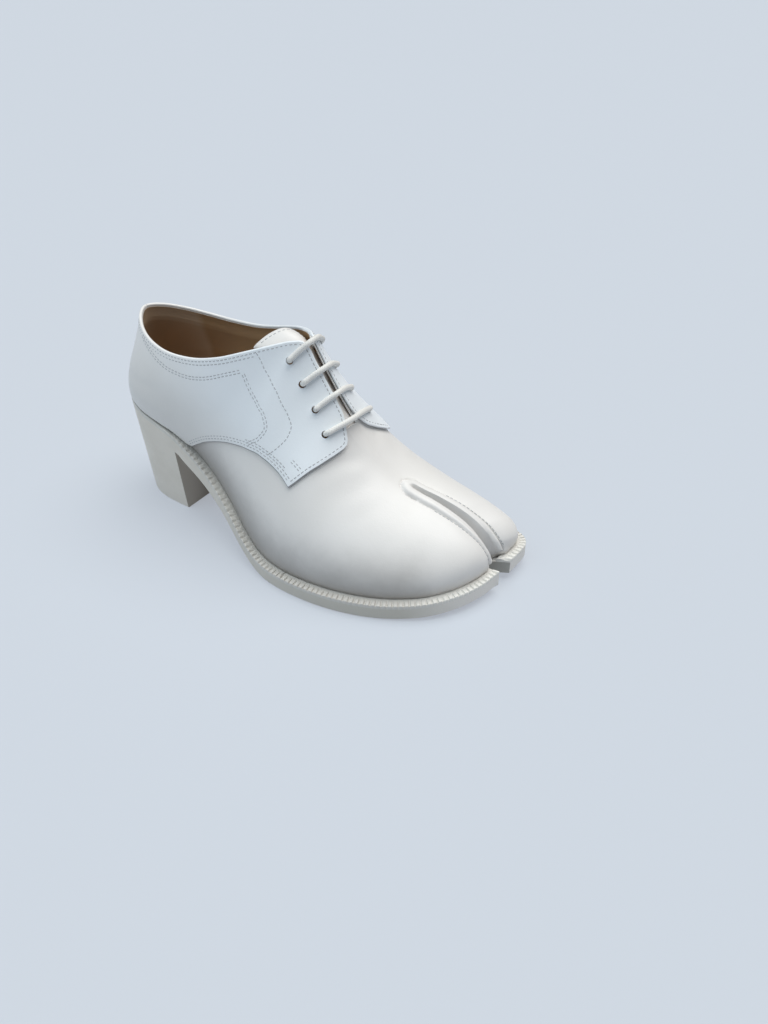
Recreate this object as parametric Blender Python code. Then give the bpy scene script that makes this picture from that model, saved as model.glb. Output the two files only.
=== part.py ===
"""Split toe derby, right shoe: a lace-up dress shoe with a cleft between the big toe and the
other toes, a rib-edged welt, a leather sole and a block heel.

Shoe axes while it is modelled: x from the back of the heel to the toe, y from the outer
(lateral, negative) to the inner (medial, positive) side, z up from the floor, in millimetres.
The meshes are written in metres, and an empty carries them so that the middle of the
shoe's footprint is the origin.
"""

import bpy
import bmesh
import numpy as np
from mathutils import Matrix, Vector

for left_over in list(bpy.data.objects):
    bpy.data.objects.remove(left_over)

MM = 0.001

# Driving dimensions, in millimetres
WALL = 2.0                # leather and lining of the upper
QUARTER = 1.2             # leather of the quarters, sewn over the vamp
QUARTER_GAP = 0.5
GAP = 0.3                 # clearance between pieces that meet
WELT_THICK = 2.2
WELT_UNDER_UPPER = 2.2    # how far the welt runs in under the upper
RIB_PITCH = 3.2
RIB_DEPTH = 0.9
RIBS_FROM = 4.3           # section where the ribs fade in, level with the heel breast
RIBS_FADE = 1.5
INSOLE_RISE = 1.0         # top of the insole above the welt
EDGE_BEVEL = 0.8          # worn lower edge of the outsole
HEEL_FRONT = 50.0         # heel breast, at its top
HEEL_BASE_BACK = 2.0
HEEL_BASE_FRONT = 47.0
HEEL_BASE_NARROWING = 0.815
SLOT_ROOT = 19.4          # section where the cleft reaches the sole and the sole is split
SLOT_ROOT_X = 225.0
SLOT_LATERAL_Y = (8.6, 7.5)     # lateral side of the slot, at its root and at the toe
SLOT_MEDIAL_Y = (13.4, 19.6)
SLOT_TOE_X = (245.6, 246.4)     # corners of the lateral and the medial lobe
CLEFT_START = 16.4
CLEFT_BEAD = 0.9          # raised seam along both lips of the cleft
BEAD_HEIGHT = 0.95        # where on the wall the raised seam runs, and how wide it is
BEAD_WIDTH = 0.04
CLEFT_STEEPNESS = 2.5     # of its side walls
CLEFT_DEEPENING = 1.3     # how late it gets deep
LOBE_ARCH = 4             # how evenly the lobes' inner walls stand in the slot
THROAT = 14               # section where the facings end on the vamp
TOE = 22                  # last section
EYELET_RADIUS = 2.1
PUNCH_LENGTH = 12.0
LACE_RADIUS = 1.3
LACE_CLEAR = 0.9          # lace to leather
LACE_POINTS = 60
LACE_TURN = 0.4           # share of the way down where the lace is inside the eyelet
SMALL_STEP = 0.004        # for slopes of the wall
FINE = 2000               # samples of a line whose length is measured
WELT_ROUND = 0.4          # how much lower the welt's outer edge is
PLAIN_STATIONS = 17
SOLE_STATIONS = 30
LOBE_STATIONS = 8
HEEL_GAP = 0.5            # under the sole, whose facets run along other lines
HEEL_STATIONS = 15
HEEL_LAYERS = 5
INSOLE_GAP = 0.2
INSOLE_PLAY = 0.6
INSOLE_SLOT_INSET = 3.6
INSOLE_SECTIONS = (18.6, 20.8)   # root of its slot, under the cleft, and end of its lobes
INSOLE_ROOT_X = 215.0
INSOLE_TOE_X = (233.0, 237.0)
LOBE_INSET = 1.0          # cleft wall of a lobe, inside the edge of the slot
LOBE_TIP = 2.0
RIDGE_CROWN = 0.6
UPPER_ROWS = np.array([0.0, 0.15, 0.34, 0.53, 0.71, 0.86, 0.95, 1.0])
QUARTER_ROWS = np.delete(UPPER_ROWS, -2)
FRONT_LIFT = 0.5          # the facings' front stands a little off the vamp
BACK_SEAM = 0.015
TONGUE_THICK = 1.8
TONGUE_ROUND = 6.0        # radius of its ridge
TONGUE_SKEW = 15.0        # how much longer its lateral corner is
TONGUE_END_ROUND = 8.0
TONGUE_ROWS = 13
TONGUE_COLUMNS = 9

# Middle line, half width and sides of the tongue, from the vamp to its loose end
TONGUE = np.array([
    # x, z, half width, slope of its sides
    (168.0, 61.0, 9.5, 0.40),
    (162.5, 69.0, 9.5, 0.45),
    (156.5, 78.0, 9.0, 0.55),
    (150.0, 89.6, 7.4, 0.80),
    (142.8, 101.0, 5.6, 1.05),
    (135.9, 111.6, 5.0, 1.25),
    (130.5, 118.6, 6.2, 1.25),
    (124.5, 123.0, 8.0, 1.15),
    (117.5, 125.8, 10.2, 1.00),
    (109.0, 127.0, 11.6, 0.90),
    (100.0, 127.0, 12.0, 0.88),
])

# Sole edge and width of the welt that shows, a row for each section from heel to toe
SECTIONS = np.array([
    # lateral x, lateral y, medial x, medial y, welt
    (0.0, 0.0, 0.0, 0.0, 1.5),
    (3.5, -14.5, 3.5, 14.5, 1.5),
    (12.0, -24.0, 12.0, 24.0, 1.6),
    (25.0, -29.8, 25.0, 29.6, 1.8),
    (40.0, -31.6, 40.0, 30.8, 2.4),
    (55.0, -32.3, 55.0, 30.0, 3.8),
    (69.0, -33.6, 69.0, 28.6, 4.8),
    (81.0, -36.2, 81.0, 28.2, 5.0),
    (92.0, -39.8, 92.0, 29.4, 5.0),
    (102.0, -43.8, 102.0, 31.6, 5.0),
    (110.0, -47.2, 110.0, 34.0, 5.0),
    (119.0, -50.5, 119.0, 36.7, 5.0),
    (129.0, -53.5, 129.0, 39.6, 5.0),
    (140.0, -55.4, 140.0, 42.4, 5.0),
    (151.0, -56.1, 151.0, 44.7, 5.1),
    (165.0, -55.6, 166.0, 47.1, 5.2),
    (180.0, -53.3, 182.0, 48.9, 5.3),
    (197.0, -48.3, 199.0, 50.0, 5.4),
    (212.0, -41.3, 215.0, 50.0, 5.5),
    (225.0, -32.3, 229.0, 48.6, 5.5),
    (235.5, -20.0, 241.0, 45.7, 5.5),
    (242.0, -7.0, 247.6, 37.0, 5.5),
    (244.8, 4.0, 247.3, 23.5, 5.5),
])

# Top line of the upper: the collar, then the facing edge, then the ridge of the vamp, which
# splits into the two lips of the cleft
TOP_LINE = np.array([
    # x, lateral y, medial y, z
    (12.0, 0.0, 0.0, 117.0),
    (17.0, -9.0, 9.0, 115.8),
    (27.0, -17.5, 17.5, 112.6),
    (39.0, -23.0, 23.0, 109.8),
    (54.0, -26.0, 26.0, 108.2),
    (72.0, -26.0, 26.0, 109.2),
    (88.0, -24.0, 24.0, 112.8),
    (101.0, -20.0, 20.0, 117.2),
    (114.0, -14.0, 14.0, 121.6),
    (125.0, -7.5, 6.4, 124.6),
    (131.5, -3.6, 1.8, 123.4),
    (138.0, -3.4, 0.9, 113.5),
    (145.0, -3.5, 0.7, 102.5),
    (152.0, -3.8, 1.3, 91.0),
    (158.0, -4.5, 3.8, 79.0),
    (168.0, -1.8, 4.0, 67.0),
    (180.0, 0.3, 5.4, 57.0),
    (193.0, 2.0, 8.0, 50.0),
    (206.0, 3.8, 11.0, 45.5),
    (218.0, 5.2, 13.8, 40.2),
    (228.5, 6.2, 15.8, 33.5),
    (235.0, 6.8, 17.4, 26.5),
    (238.5, 7.2, 19.0, 20.5),
])

# Fullness of the sections: how the wall leaves the sole and how it comes to the top line. The
# medial side is the fuller one, as on a foot.
FULLNESS = np.array([
    # section, foot out, top back, lateral foot up, top out, top down, medial foot up, top out, top down
    (0, 1.0, 0.0, 16.0, 2.0, 16.0, 16.0, 2.0, 16.0),
    (4, 4.0, 4.0, 16.0, 3.0, 16.0, 16.0, 3.0, 16.0),
    (8, 4.0, 5.0, 28.0, 9.0, 22.0, 28.0, 11.0, 20.0),
    (10, 4.0, 8.0, 32.0, 18.0, 16.0, 34.0, 28.0, 3.0),
    (12, 4.0, 7.0, 30.0, 22.0, 16.0, 38.0, 33.0, -1.0),
    (14, 4.0, 4.0, 26.0, 24.0, 9.0, 40.0, 32.0, -5.0),
    (16, 4.0, 0.0, 24.0, 24.0, 3.0, 36.0, 28.0, -3.0),
    (18, 4.0, 0.0, 18.0, 18.0, 0.0, 24.0, 21.0, -2.0),
    (20, 3.5, 0.0, 13.0, 12.0, 0.0, 15.0, 13.0, -1.0),
    (22, 1.5, 0.0, 3.0, 1.5, 1.0, 3.0, 1.5, 1.0),
])

# Side view of the sole: its underside, and the feather line where upper and welt meet
PROFILE = np.array([
    # x, underside z, feather z
    (0.0, 59.5, 68.5),
    (12.0, 57.3, 66.8),
    (25.0, 54.6, 64.0),
    (38.0, 51.0, 60.6),
    (50.0, 44.8, 56.6),
    (63.0, 37.0, 49.6),
    (76.0, 29.3, 41.3),
    (88.0, 22.0, 33.0),
    (99.0, 14.6, 25.0),
    (110.0, 7.8, 17.2),
    (120.0, 2.9, 12.0),
    (131.0, 0.3, 9.8),
    (140.0, 0.0, 9.4),
    (165.0, 0.0, 9.4),
    (190.0, 0.0, 9.6),
    (205.0, 0.5, 10.1),
    (220.0, 1.6, 11.3),
    (235.0, 3.4, 13.1),
    (250.0, 5.8, 15.5),
])

# Lower edge of a quarter: it leaves the welt and arches forward to a tip on the vamp. Height is
# the share of the way from the sole to the top line.
QUARTER_EDGE = np.array([
    # section, height
    (0.0, 0.03),
    (4.6, 0.03),
    (5.3, 0.035),
    (5.6, 0.07),
    (5.94, 0.16),
    (6.36, 0.252),
    (6.88, 0.322),
    (7.46, 0.372),
    (8.1, 0.402),
    (8.72, 0.418),
    (9.98, 0.442),
    (10.68, 0.473),
    (11.3, 0.496),
    (11.9, 0.508),
    (12.3, 0.508),
    (12.8, 0.498),
])
QUARTER_TIP = 12.8
FACING_STEPS = 6
FACING_CLOSE = 0.13       # the facing's last section, as root of the way back from its end

# Front of each facing: its end; then, by the square root of the way back from the end, its edges
FACING_FRONT = {
    "lateral": (14.18, np.array([
        # root of the way, lower edge, upper edge
        (0.0, 0.905, 0.905),
        (0.14, 0.882, 0.925),
        (0.42, 0.800, 0.957),
        (0.65, 0.715, 0.976),
        (0.85, 0.640, 0.992),
        (1.0, 0.575, 1.0),
        (1.1747, 0.498, 1.0),
    ])),
    "medial": (14.75, np.array([
        # root of the way, lower edge, upper edge
        (0.0, 0.72, 0.72),
        (0.2, 0.672, 0.775),
        (0.5, 0.620, 0.868),
        (0.7, 0.585, 0.932),
        (1.0, 0.545, 0.980),
        (1.24, 0.515, 0.998),
        (1.3964, 0.498, 1.0),
    ])),
}

# Eyelets of each facing, from the collar down
EYELETS = {
    "lateral": np.array([
        # section, height
        (9.98, 0.868),
        (11.12, 0.868),
        (12.20, 0.863),
        (13.18, 0.838),
    ]),
    "medial": np.array([
        # section, height
        (10.35, 0.868),
        (11.55, 0.866),
        (12.70, 0.860),
        (13.85, 0.835),
    ]),
}
SIGN = {"lateral": 1, "medial": -1}


def hermite(knots, values, at):
    """Values at the places at, on a smooth curve through the knots of a table."""
    at = np.clip(np.asarray(at, float), knots[0], knots[-1])
    slopes = np.gradient(values, knots, axis=0)
    i = np.clip(np.searchsorted(knots, at, side="right") - 1, 0, len(knots) - 2)
    step = (knots[i + 1] - knots[i])
    t = (at - knots[i]) / step
    if values.ndim > 1:
        t, step = t[..., None], step[..., None]
    return ((2 * t**3 - 3 * t**2 + 1) * values[i] + (t**3 - 2 * t**2 + t) * step * slopes[i]
            + (3 * t**2 - 2 * t**3) * values[i + 1] + (t**3 - t**2) * step * slopes[i + 1])


def round_the_shoe(lateral, medial):
    """One table from the medial toe round the heel to the lateral toe, with signed sections."""
    rows = np.vstack([medial[:0:-1], lateral])
    return np.arange(-TOE, TOE + 1.0), rows


# Sections run from -22 at the medial toe over 0 at the heel back to 22 at the lateral toe
EDGE = round_the_shoe(SECTIONS[:, 0:2], SECTIONS[:, 2:4])
TOP = round_the_shoe(TOP_LINE[:, [0, 1, 3]], TOP_LINE[:, [0, 2, 3]])


def sole_edge(section, inset=0.0):
    """Points of the sole's outline, moved in from the edge by inset."""
    section = np.asarray(section, float)
    small = 0.01
    point = hermite(*EDGE, section)
    before = hermite(*EDGE, np.clip(section - small, -TOE, TOE))
    after = hermite(*EDGE, np.clip(section + small, -TOE, TOE))
    along = after - before
    along /= np.linalg.norm(along, axis=-1, keepdims=True)
    inward = np.stack([-along[..., 1], along[..., 0]], axis=-1)
    return point + inward * np.asarray(inset)[..., None], inward


def welt_show(section):
    return hermite(np.arange(TOE + 1.0), SECTIONS[:, 4], np.abs(section))


def underside(x):
    return np.maximum(hermite(PROFILE[:, 0], PROFILE[:, 1], x), 0.0)


def feather(x):
    return hermite(PROFILE[:, 0], PROFILE[:, 2], x)


def at_height(points, heights):
    return np.concatenate([points, heights[..., None]], axis=-1)


def wall(section, height):
    """Outer surface of the upper: a cubic curve from the feather line to the top line."""
    section, height = np.broadcast_arrays(np.asarray(section, float), np.asarray(height, float))
    foot, inward = sole_edge(section, welt_show(section))
    foot = at_height(foot, feather(foot[..., 0]) + GAP)
    outward = at_height(-inward, np.zeros(section.shape))
    top = hermite(*TOP, section)
    full = hermite(FULLNESS[:, 0], FULLNESS[:, 1:], np.abs(section))
    foot_out, top_back = full[..., 0:1], full[..., 1:2]
    shape = np.where(section[..., None] > 0, full[..., 2:5], full[..., 5:8])
    foot_up, top_out, top_down = np.moveaxis(shape[..., None], -2, 0)
    x_axis, z_axis = np.eye(3)[0], np.eye(3)[2]
    low = foot + outward * foot_out + z_axis * foot_up
    high = top + outward * top_out - x_axis * top_back - z_axis * top_down
    t = height[..., None]
    return (1 - t)**3 * foot + 3 * t * (1 - t)**2 * low + 3 * t**2 * (1 - t) * high + t**3 * top


def wall_normal(section, height):
    before, after = np.maximum(section - SMALL_STEP, -TOE), np.minimum(section + SMALL_STEP, TOE)
    under, above = np.maximum(height - SMALL_STEP, 0), np.minimum(height + SMALL_STEP, 1)
    normal = np.cross(wall(after, height) - wall(before, height), wall(section, above) - wall(section, under))
    return normal / np.linalg.norm(normal, axis=-1, keepdims=True)


def new_object(name, mesh, colour, roughness):
    obj = bpy.data.objects.new(name, mesh)
    bpy.context.scene.collection.objects.link(obj)
    material = bpy.data.materials.new(name)
    material.use_nodes = True
    shader = material.node_tree.nodes["Principled BSDF"]
    shader.inputs["Base Color"].default_value = (*colour, 1.0)
    shader.inputs["Roughness"].default_value = roughness
    mesh.materials.append(material)
    obj.parent = shoe
    return obj


class Patchwork:
    """Collects grids and rings of points, in millimetres, and welds them into one mesh."""

    def __init__(self):
        self.points, self.faces = [], []

    def grid(self, points):
        """A patch whose first axis crossed with its second points outwards."""
        base = len(self.points)
        rows, columns = points.shape[:2]
        self.points.extend(points.reshape(-1, 3))
        for i in range(rows - 1):
            for j in range(columns - 1):
                a = base + i * columns + j
                self.faces.append((a, a + columns, a + columns + 1, a + 1))

    def face(self, corners):
        base = len(self.points)
        self.points.extend(corners)
        self.faces.append(tuple(range(base, base + len(corners))))

    def mesh(self, name, closed=True):
        shape = bmesh.new()
        corners = [shape.verts.new(np.asarray(point) * MM) for point in self.points]
        for face in self.faces:
            shape.faces.new([corners[i] for i in face])
        bmesh.ops.remove_doubles(shape, verts=shape.verts, dist=0.00002)
        if closed:
            bmesh.ops.recalc_face_normals(shape, faces=shape.faces)
        bmesh.ops.triangulate(shape, faces=[f for f in shape.faces if len(f.verts) > 4])
        made = bpy.data.meshes.new(name)
        shape.to_mesh(made)
        shape.free()
        made.shade_smooth()
        made.set_sharp_from_angle(angle=np.radians(40))
        return made


def solidify(obj, thickness, offset):
    modifier = obj.modifiers.new("thickness", "SOLIDIFY")
    modifier.thickness = thickness * MM
    modifier.offset = offset
    modifier.use_even_offset = False


def slot_line(side, root_x, toe_x, share, inset=0.0):
    """Edge of the toe slot, from its root to the toe, on the lateral (0) or medial (1) lobe."""
    y = (SLOT_LATERAL_Y, SLOT_MEDIAL_Y)[side]
    away = (-1, 1)[side]
    x = root_x + share * (toe_x - root_x)
    return np.stack([x, y[0] + share * (y[1] - y[0]) + away * inset], axis=-1)


def flat_piece(inset, slot_inset, sections, root_x, toe_x, low, high, bevel=0.0):
    """A layer of the sole between two heights, which are functions of x: its body up to the
    root of the slot, and a lobe on either side of the slot. Sections are those of root and end."""
    layer = Patchwork()
    body = np.linspace(0, sections[0], SOLE_STATIONS)
    lateral, _ = sole_edge(body, inset(body))
    medial, _ = sole_edge(-body, inset(body))
    root = [slot_line(side, root_x, toe_x[side], np.array(0.0), slot_inset) for side in (0, 1)]
    share = [(corner[1] - lateral[-1, 1]) / (medial[-1, 1] - lateral[-1, 1]) for corner in root]
    across = [lateral, *(lateral + s * (medial - lateral) for s in share), medial]
    across[1][-1], across[2][-1] = root

    def ring(chain, bevelled):
        """Closed sections over a chain of points that runs from the lateral side across."""
        pulled = list(chain)
        for end_of_chain, neighbour in bevelled:
            gap = chain[neighbour] - chain[end_of_chain]
            length = np.linalg.norm(gap, axis=-1, keepdims=True).clip(1.0)
            pulled[end_of_chain] = chain[end_of_chain] + gap * bevel / length
        rim = [at_height(p, high(p[:, 0])) for p in chain]
        base = [at_height(p, low(p[:, 0])) for p in pulled]
        sides = [at_height(chain[i], low(chain[i][:, 0]) + bevel) for i in (-1, 0)]
        return np.stack([*rim, sides[0], *base[::-1], sides[1], rim[0]], axis=1)

    layer.grid(ring(across, ((0, 1), (-1, -2))))
    tip = np.linspace(*sections, LOBE_STATIONS)
    for side, sign in ((0, 1), (1, -1)):
        outer, _ = sole_edge(sign * tip, inset(tip))
        inner = slot_line(side, root_x, toe_x[side], np.linspace(0, 1, len(tip)), slot_inset)
        chain = [outer, inner] if side == 0 else [inner, outer]
        lobe = ring(chain, ((0, 1),) if side == 0 else ((-1, -2),))
        layer.grid(lobe)
        layer.face(lobe[-1, :-1])
    top = [at_height(p, high(p[..., 0])) for p in root]
    low_corner = [at_height(p, low(p[..., 0]) + bevel) for p in root]
    foot = [at_height(p, low(p[..., 0])) for p in root]
    layer.face([top[0], top[1], low_corner[1], foot[1], foot[0], low_corner[0]])
    return layer


# The empty that carries the shoe
shoe = bpy.data.objects.new("shoe", None)
bpy.context.scene.collection.objects.link(shoe)


def make_outsole():
    """Leather sole, one layer from the toe to the heel seat, split between the toes."""
    layer = flat_piece(lambda section: 0.0 * section, 0.0, (SLOT_ROOT, TOE), SLOT_ROOT_X, SLOT_TOE_X,
                       underside, lambda x: feather(x) - WELT_THICK - GAP, EDGE_BEVEL)
    return new_object("outsole", layer.mesh("outsole"), (0.66, 0.65, 0.62), 0.5)


def make_insole():
    """Insole board, on the sole inside the welt."""
    layer = flat_piece(lambda section: welt_show(section) + WELT_UNDER_UPPER + INSOLE_PLAY,
                       INSOLE_SLOT_INSET, INSOLE_SECTIONS, INSOLE_ROOT_X, INSOLE_TOE_X,
                       lambda x: feather(x) - WELT_THICK + INSOLE_GAP, lambda x: feather(x) + INSOLE_RISE)
    return new_object("insole", layer.mesh("insole"), (0.42, 0.24, 0.12), 0.7)


def make_welt():
    """Strip round the sole's edge from lobe to lobe, cut with ribs across its outer half."""
    fine = np.linspace(RIBS_FROM, TOE, FINE)
    edge, _ = sole_edge(fine)
    run = np.concatenate([[0], np.cumsum(np.linalg.norm(np.diff(edge, axis=0), axis=-1))])
    count = 2 * int(run[-1] / RIB_PITCH) + 1
    ribbed = np.interp(np.linspace(0, run[-1], count), run, fine)
    plain = np.linspace(-RIBS_FROM, RIBS_FROM, PLAIN_STATIONS)
    section = np.concatenate([-ribbed[:0:-1], plain, ribbed[1:]])
    groove = np.concatenate([np.arange(count - 1, 0, -1) % 2, 0 * plain, np.arange(1, count) % 2])
    groove = groove * RIB_DEPTH * np.clip((np.abs(section) - RIBS_FROM) / RIBS_FADE, 0, 1)
    show = welt_show(section)
    corners = []
    for inset, drop in ((show + WELT_UNDER_UPPER, WELT_THICK), (0 * show, WELT_THICK),
                        (0 * show, WELT_ROUND + groove), (show + WELT_UNDER_UPPER, 0.0)):
        point, _ = sole_edge(section, inset)
        corners.append(at_height(point, feather(point[:, 0]) - drop))
    strip = Patchwork()
    ring = np.stack(corners + corners[:1], axis=1)
    strip.grid(ring)
    strip.face(ring[0, :-1])
    strip.face(ring[-1, :-1])
    return new_object("welt", strip.mesh("welt"), (0.72, 0.71, 0.68), 0.5)


def make_heel():
    """Stacked leather block under the heel seat, tapered to its base, with a straight breast."""
    fine = np.linspace(0, THROAT, FINE)
    end = np.interp(HEEL_FRONT, sole_edge(fine)[0][:, 0], fine)
    block = Patchwork()
    half = np.linspace(0, end, HEEL_STATIONS)
    sides = []
    for sign in (-1, 1):
        top, _ = sole_edge(sign * half)
        base = np.stack([HEEL_BASE_BACK + top[:, 0] * (HEEL_BASE_FRONT - HEEL_BASE_BACK) / HEEL_FRONT,
                         top[:, 1] * HEEL_BASE_NARROWING], axis=-1)
        top = at_height(top, underside(top[:, 0]) - HEEL_GAP)
        base = at_height(base, np.zeros(len(base)))
        share = np.linspace(0, 1, HEEL_LAYERS)[:, None, None]
        sides.append(base + share * (top - base))
    medial, lateral = sides
    block.grid(medial)
    block.grid(lateral)
    block.grid(np.stack([medial[:, -1], lateral[:, -1]], axis=1))
    block.grid(np.stack([medial[-1], lateral[-1]], axis=1))
    block.grid(np.stack([medial[0], lateral[0]], axis=1))
    return new_object("heel", block.mesh("heel"), (0.64, 0.63, 0.60), 0.5)


def upper_surface(section, height):
    """The wall with the raised seam along the lips of the cleft."""
    section, height = np.broadcast_arrays(np.asarray(section, float), np.asarray(height, float))
    raised = np.clip(np.abs(section) - CLEFT_START, 0, 1) * np.exp(-((height - BEAD_HEIGHT) / BEAD_WIDTH)**2)
    return wall(section, height) + (CLEFT_BEAD * raised)[..., None] * wall_normal(section, height)


def cleft_fall(share):
    """Share of the cleft's depth reached at a share of its width."""
    return 1 - np.abs(2 * share - 1)**CLEFT_STEEPNESS


def make_upper():
    """Hollow leather upper in one solid: vamp, quarters' lining and the two toe lobes. It is
    open at the collar and throat, underneath, and below the cleft where the sole is split."""
    half_steps = np.append(np.arange(0, TOE + 0.25, 0.5), SLOT_ROOT)
    half_steps = np.unique(half_steps)
    section = np.concatenate([-half_steps[:0:-1], half_steps])
    skin = Patchwork()
    skin.grid(upper_surface(section[:, None], UPPER_ROWS[None, :]))
    ridge = half_steps[(half_steps >= THROAT) & (half_steps <= SLOT_ROOT)]
    across = np.linspace(0, 1, 9)[None, :, None]
    lateral = upper_surface(ridge, 1.0)[:, None]
    medial = upper_surface(-ridge, 1.0)[:, None]
    vamp = lateral + across * (medial - lateral)
    deep = np.clip((ridge - CLEFT_START) / (SLOT_ROOT - CLEFT_START), 0, 1)[:, None]
    depth = deep**CLEFT_DEEPENING * (vamp[..., 2].mean(axis=1, keepdims=True) - feather(SLOT_ROOT_X) - GAP)
    vamp[..., 2] -= depth * cleft_fall(across[..., 0])
    vamp[..., 2] += RIDGE_CROWN * (1 - deep) * (1 - (2 * across[..., 0] - 1)**2)
    skin.grid(vamp)
    lobes = half_steps[half_steps >= SLOT_ROOT]
    bottom = vamp[-1, 4]
    share = np.linspace(0, 1, len(lobes))
    fall = cleft_fall(np.linspace(0, 0.5, 5))[None, :, None]
    drift = np.linspace(0, 1, 5)[None, :, None]
    for side, sign in ((0, 1), (1, -1)):
        lip = upper_surface(sign * lobes, 1.0)
        foot = at_height(slot_line(side, SLOT_ROOT_X, SLOT_TOE_X[side], share, LOBE_INSET), 0 * share)
        foot[:, 0] = lip[:, 0] - LOBE_TIP * share
        foot[:, 2] = feather(foot[:, 0]) + GAP - (WELT_THICK - GAP) * (1 - (2 * share - 1)**LOBE_ARCH)
        foot[0] = bottom
        lip, foot = lip[:, None], foot[:, None]
        face = np.concatenate([lip[..., :2] + drift * (foot - lip)[..., :2],
                               lip[..., 2:] + fall * (foot - lip)[..., 2:]], axis=-1)
        skin.grid(face if side == 0 else face[:, ::-1])
        column = upper_surface(sign * TOE, UPPER_ROWS)
        tip = np.concatenate([column[:-1], face[-1]])
        skin.face(tip[::-1] if side == 0 else tip)
    obj = new_object("upper", skin.mesh("upper", closed=False), (0.80, 0.80, 0.80), 0.4)
    solidify(obj, WALL, -1)
    return obj


def quarter_reach(side, section):
    """Lower and upper edge of a quarter at a section, as heights on the wall."""
    end, front = FACING_FRONT[side]
    low, high = hermite(front[:, 0], front[:, 1:], np.sqrt(np.clip(end - section, 0, None))).T
    behind = section < QUARTER_TIP
    arch = hermite(QUARTER_EDGE[:, 0], QUARTER_EDGE[:, 1], section)
    return np.where(behind, arch, low), np.where(behind, 1.0, np.minimum(high, 1.0))


def quarter_lift(section):
    """Gap under a quarter, wider under the front of the facing, which stands off the vamp."""
    return QUARTER_GAP + FRONT_LIFT * np.clip(section - QUARTER_TIP + 1, 0, 1)


def on_quarter(side, section, height, above=0.0):
    """Points over the outside of a quarter, and the directions out of it."""
    section, height = np.broadcast_arrays(np.asarray(section, float), np.asarray(height, float))
    normal = wall_normal(SIGN[side] * section, height)
    lift = quarter_lift(section) + QUARTER + above
    return wall(SIGN[side] * section, height) + lift[..., None] * normal, normal


def make_quarter(side):
    """One quarter with its facing: a sheet of leather on the upper, from the heel seam to its
    tip on the vamp and up to the collar and the facing edge."""
    end, front = FACING_FRONT[side]
    facing = end - np.linspace(front[-1, 0], FACING_CLOSE, FACING_STEPS)**2
    arch = QUARTER_EDGE[4:9:2, 0]
    section = np.unique(np.concatenate([[BACK_SEAM], np.arange(0.5, QUARTER_TIP, 0.5), arch, facing]))
    low, high = quarter_reach(side, section)
    height = low[:, None] + (high - low)[:, None] * QUARTER_ROWS[None, :]
    sheet, _ = on_quarter(side, section[:, None], height, -QUARTER)
    skin = Patchwork()
    skin.grid(sheet if side == "lateral" else sheet[:, ::-1])
    name = "quarter_" + side
    obj = new_object(name, skin.mesh(name, closed=False), (0.82, 0.83, 0.85), 0.35)
    solidify(obj, QUARTER, 1)
    return obj


def punch_eyelets(objects):
    """Round holes through the facings."""
    pins = bmesh.new()
    for side, holes in EYELETS.items():
        for place, normal in zip(*on_quarter(side, *holes.T)):
            turn = Vector(normal).to_track_quat("Z", "Y").to_matrix().to_4x4()
            bmesh.ops.create_cone(pins, cap_ends=True, segments=16, radius1=EYELET_RADIUS * MM,
                                  radius2=EYELET_RADIUS * MM, depth=PUNCH_LENGTH * MM,
                                  matrix=Matrix.Translation(place * MM) @ turn)
    mesh = bpy.data.meshes.new("eyelet_punch")
    pins.to_mesh(mesh)
    pins.free()
    punch = new_object("eyelet_punch", mesh, (0.5, 0.5, 0.5), 0.5)
    punch.hide_render = True
    punch.display_type = "WIRE"
    for obj in objects:
        cut = obj.modifiers.new("eyelets", "BOOLEAN")
        cut.operation = "DIFFERENCE"
        cut.solver = "EXACT"
        cut.object = punch


def make_tongue():
    """Leather tongue under the facings, arched across the instep. Its loose end is round and
    longer on the lateral side."""
    run = np.concatenate([[0], np.cumsum(np.linalg.norm(np.diff(TONGUE[:, :2], axis=0), axis=-1))])
    across = np.sin(np.linspace(-np.pi / 2, np.pi / 2, TONGUE_COLUMNS))[None, :]
    reach = run[-1] - TONGUE_END_ROUND * (1 - np.sqrt(1 - np.abs(across)**3))
    reach = reach - TONGUE_SKEW * (1 - ((1 - across) / 2)**3)
    at = np.linspace(0, 1, TONGUE_ROWS)[:, None] * reach
    x, z, half_width, slope = np.moveaxis(hermite(run, TONGUE, at), -1, 0)
    ahead = hermite(run, TONGUE, at + GAP)[..., :2] - hermite(run, TONGUE, at - GAP)[..., :2]
    ahead /= np.linalg.norm(ahead, axis=-1, keepdims=True)
    y = across * half_width
    drop = slope * (np.hypot(y, TONGUE_ROUND) - TONGUE_ROUND)
    sheet = np.stack([x - drop * ahead[..., 1], y, z + drop * ahead[..., 0]], axis=-1)
    skin = Patchwork()
    skin.grid(sheet[:, ::-1])
    obj = new_object("tongue", skin.mesh("tongue", closed=False), (0.80, 0.80, 0.80), 0.4)
    solidify(obj, TONGUE_THICK, -1)
    return obj


def taut(line, out):
    """A line pulled tight over what it lies on: raised in the direction out to the highest chord
    between any two of its points."""
    across, level = line[:, 1], line @ out
    first, at, last = across[:, None, None], across[None, :, None], across[None, None, :]
    reach = np.where(last == first, 1.0, last - first)
    chord = level[:, None, None] + (level[None, None, :] - level[:, None, None]) * (at - first) / reach
    spans = (at - first) * (last - at) >= 0
    return line + (np.where(spans, chord, -np.inf).max(axis=(0, 2)) - level)[:, None] * out


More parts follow.
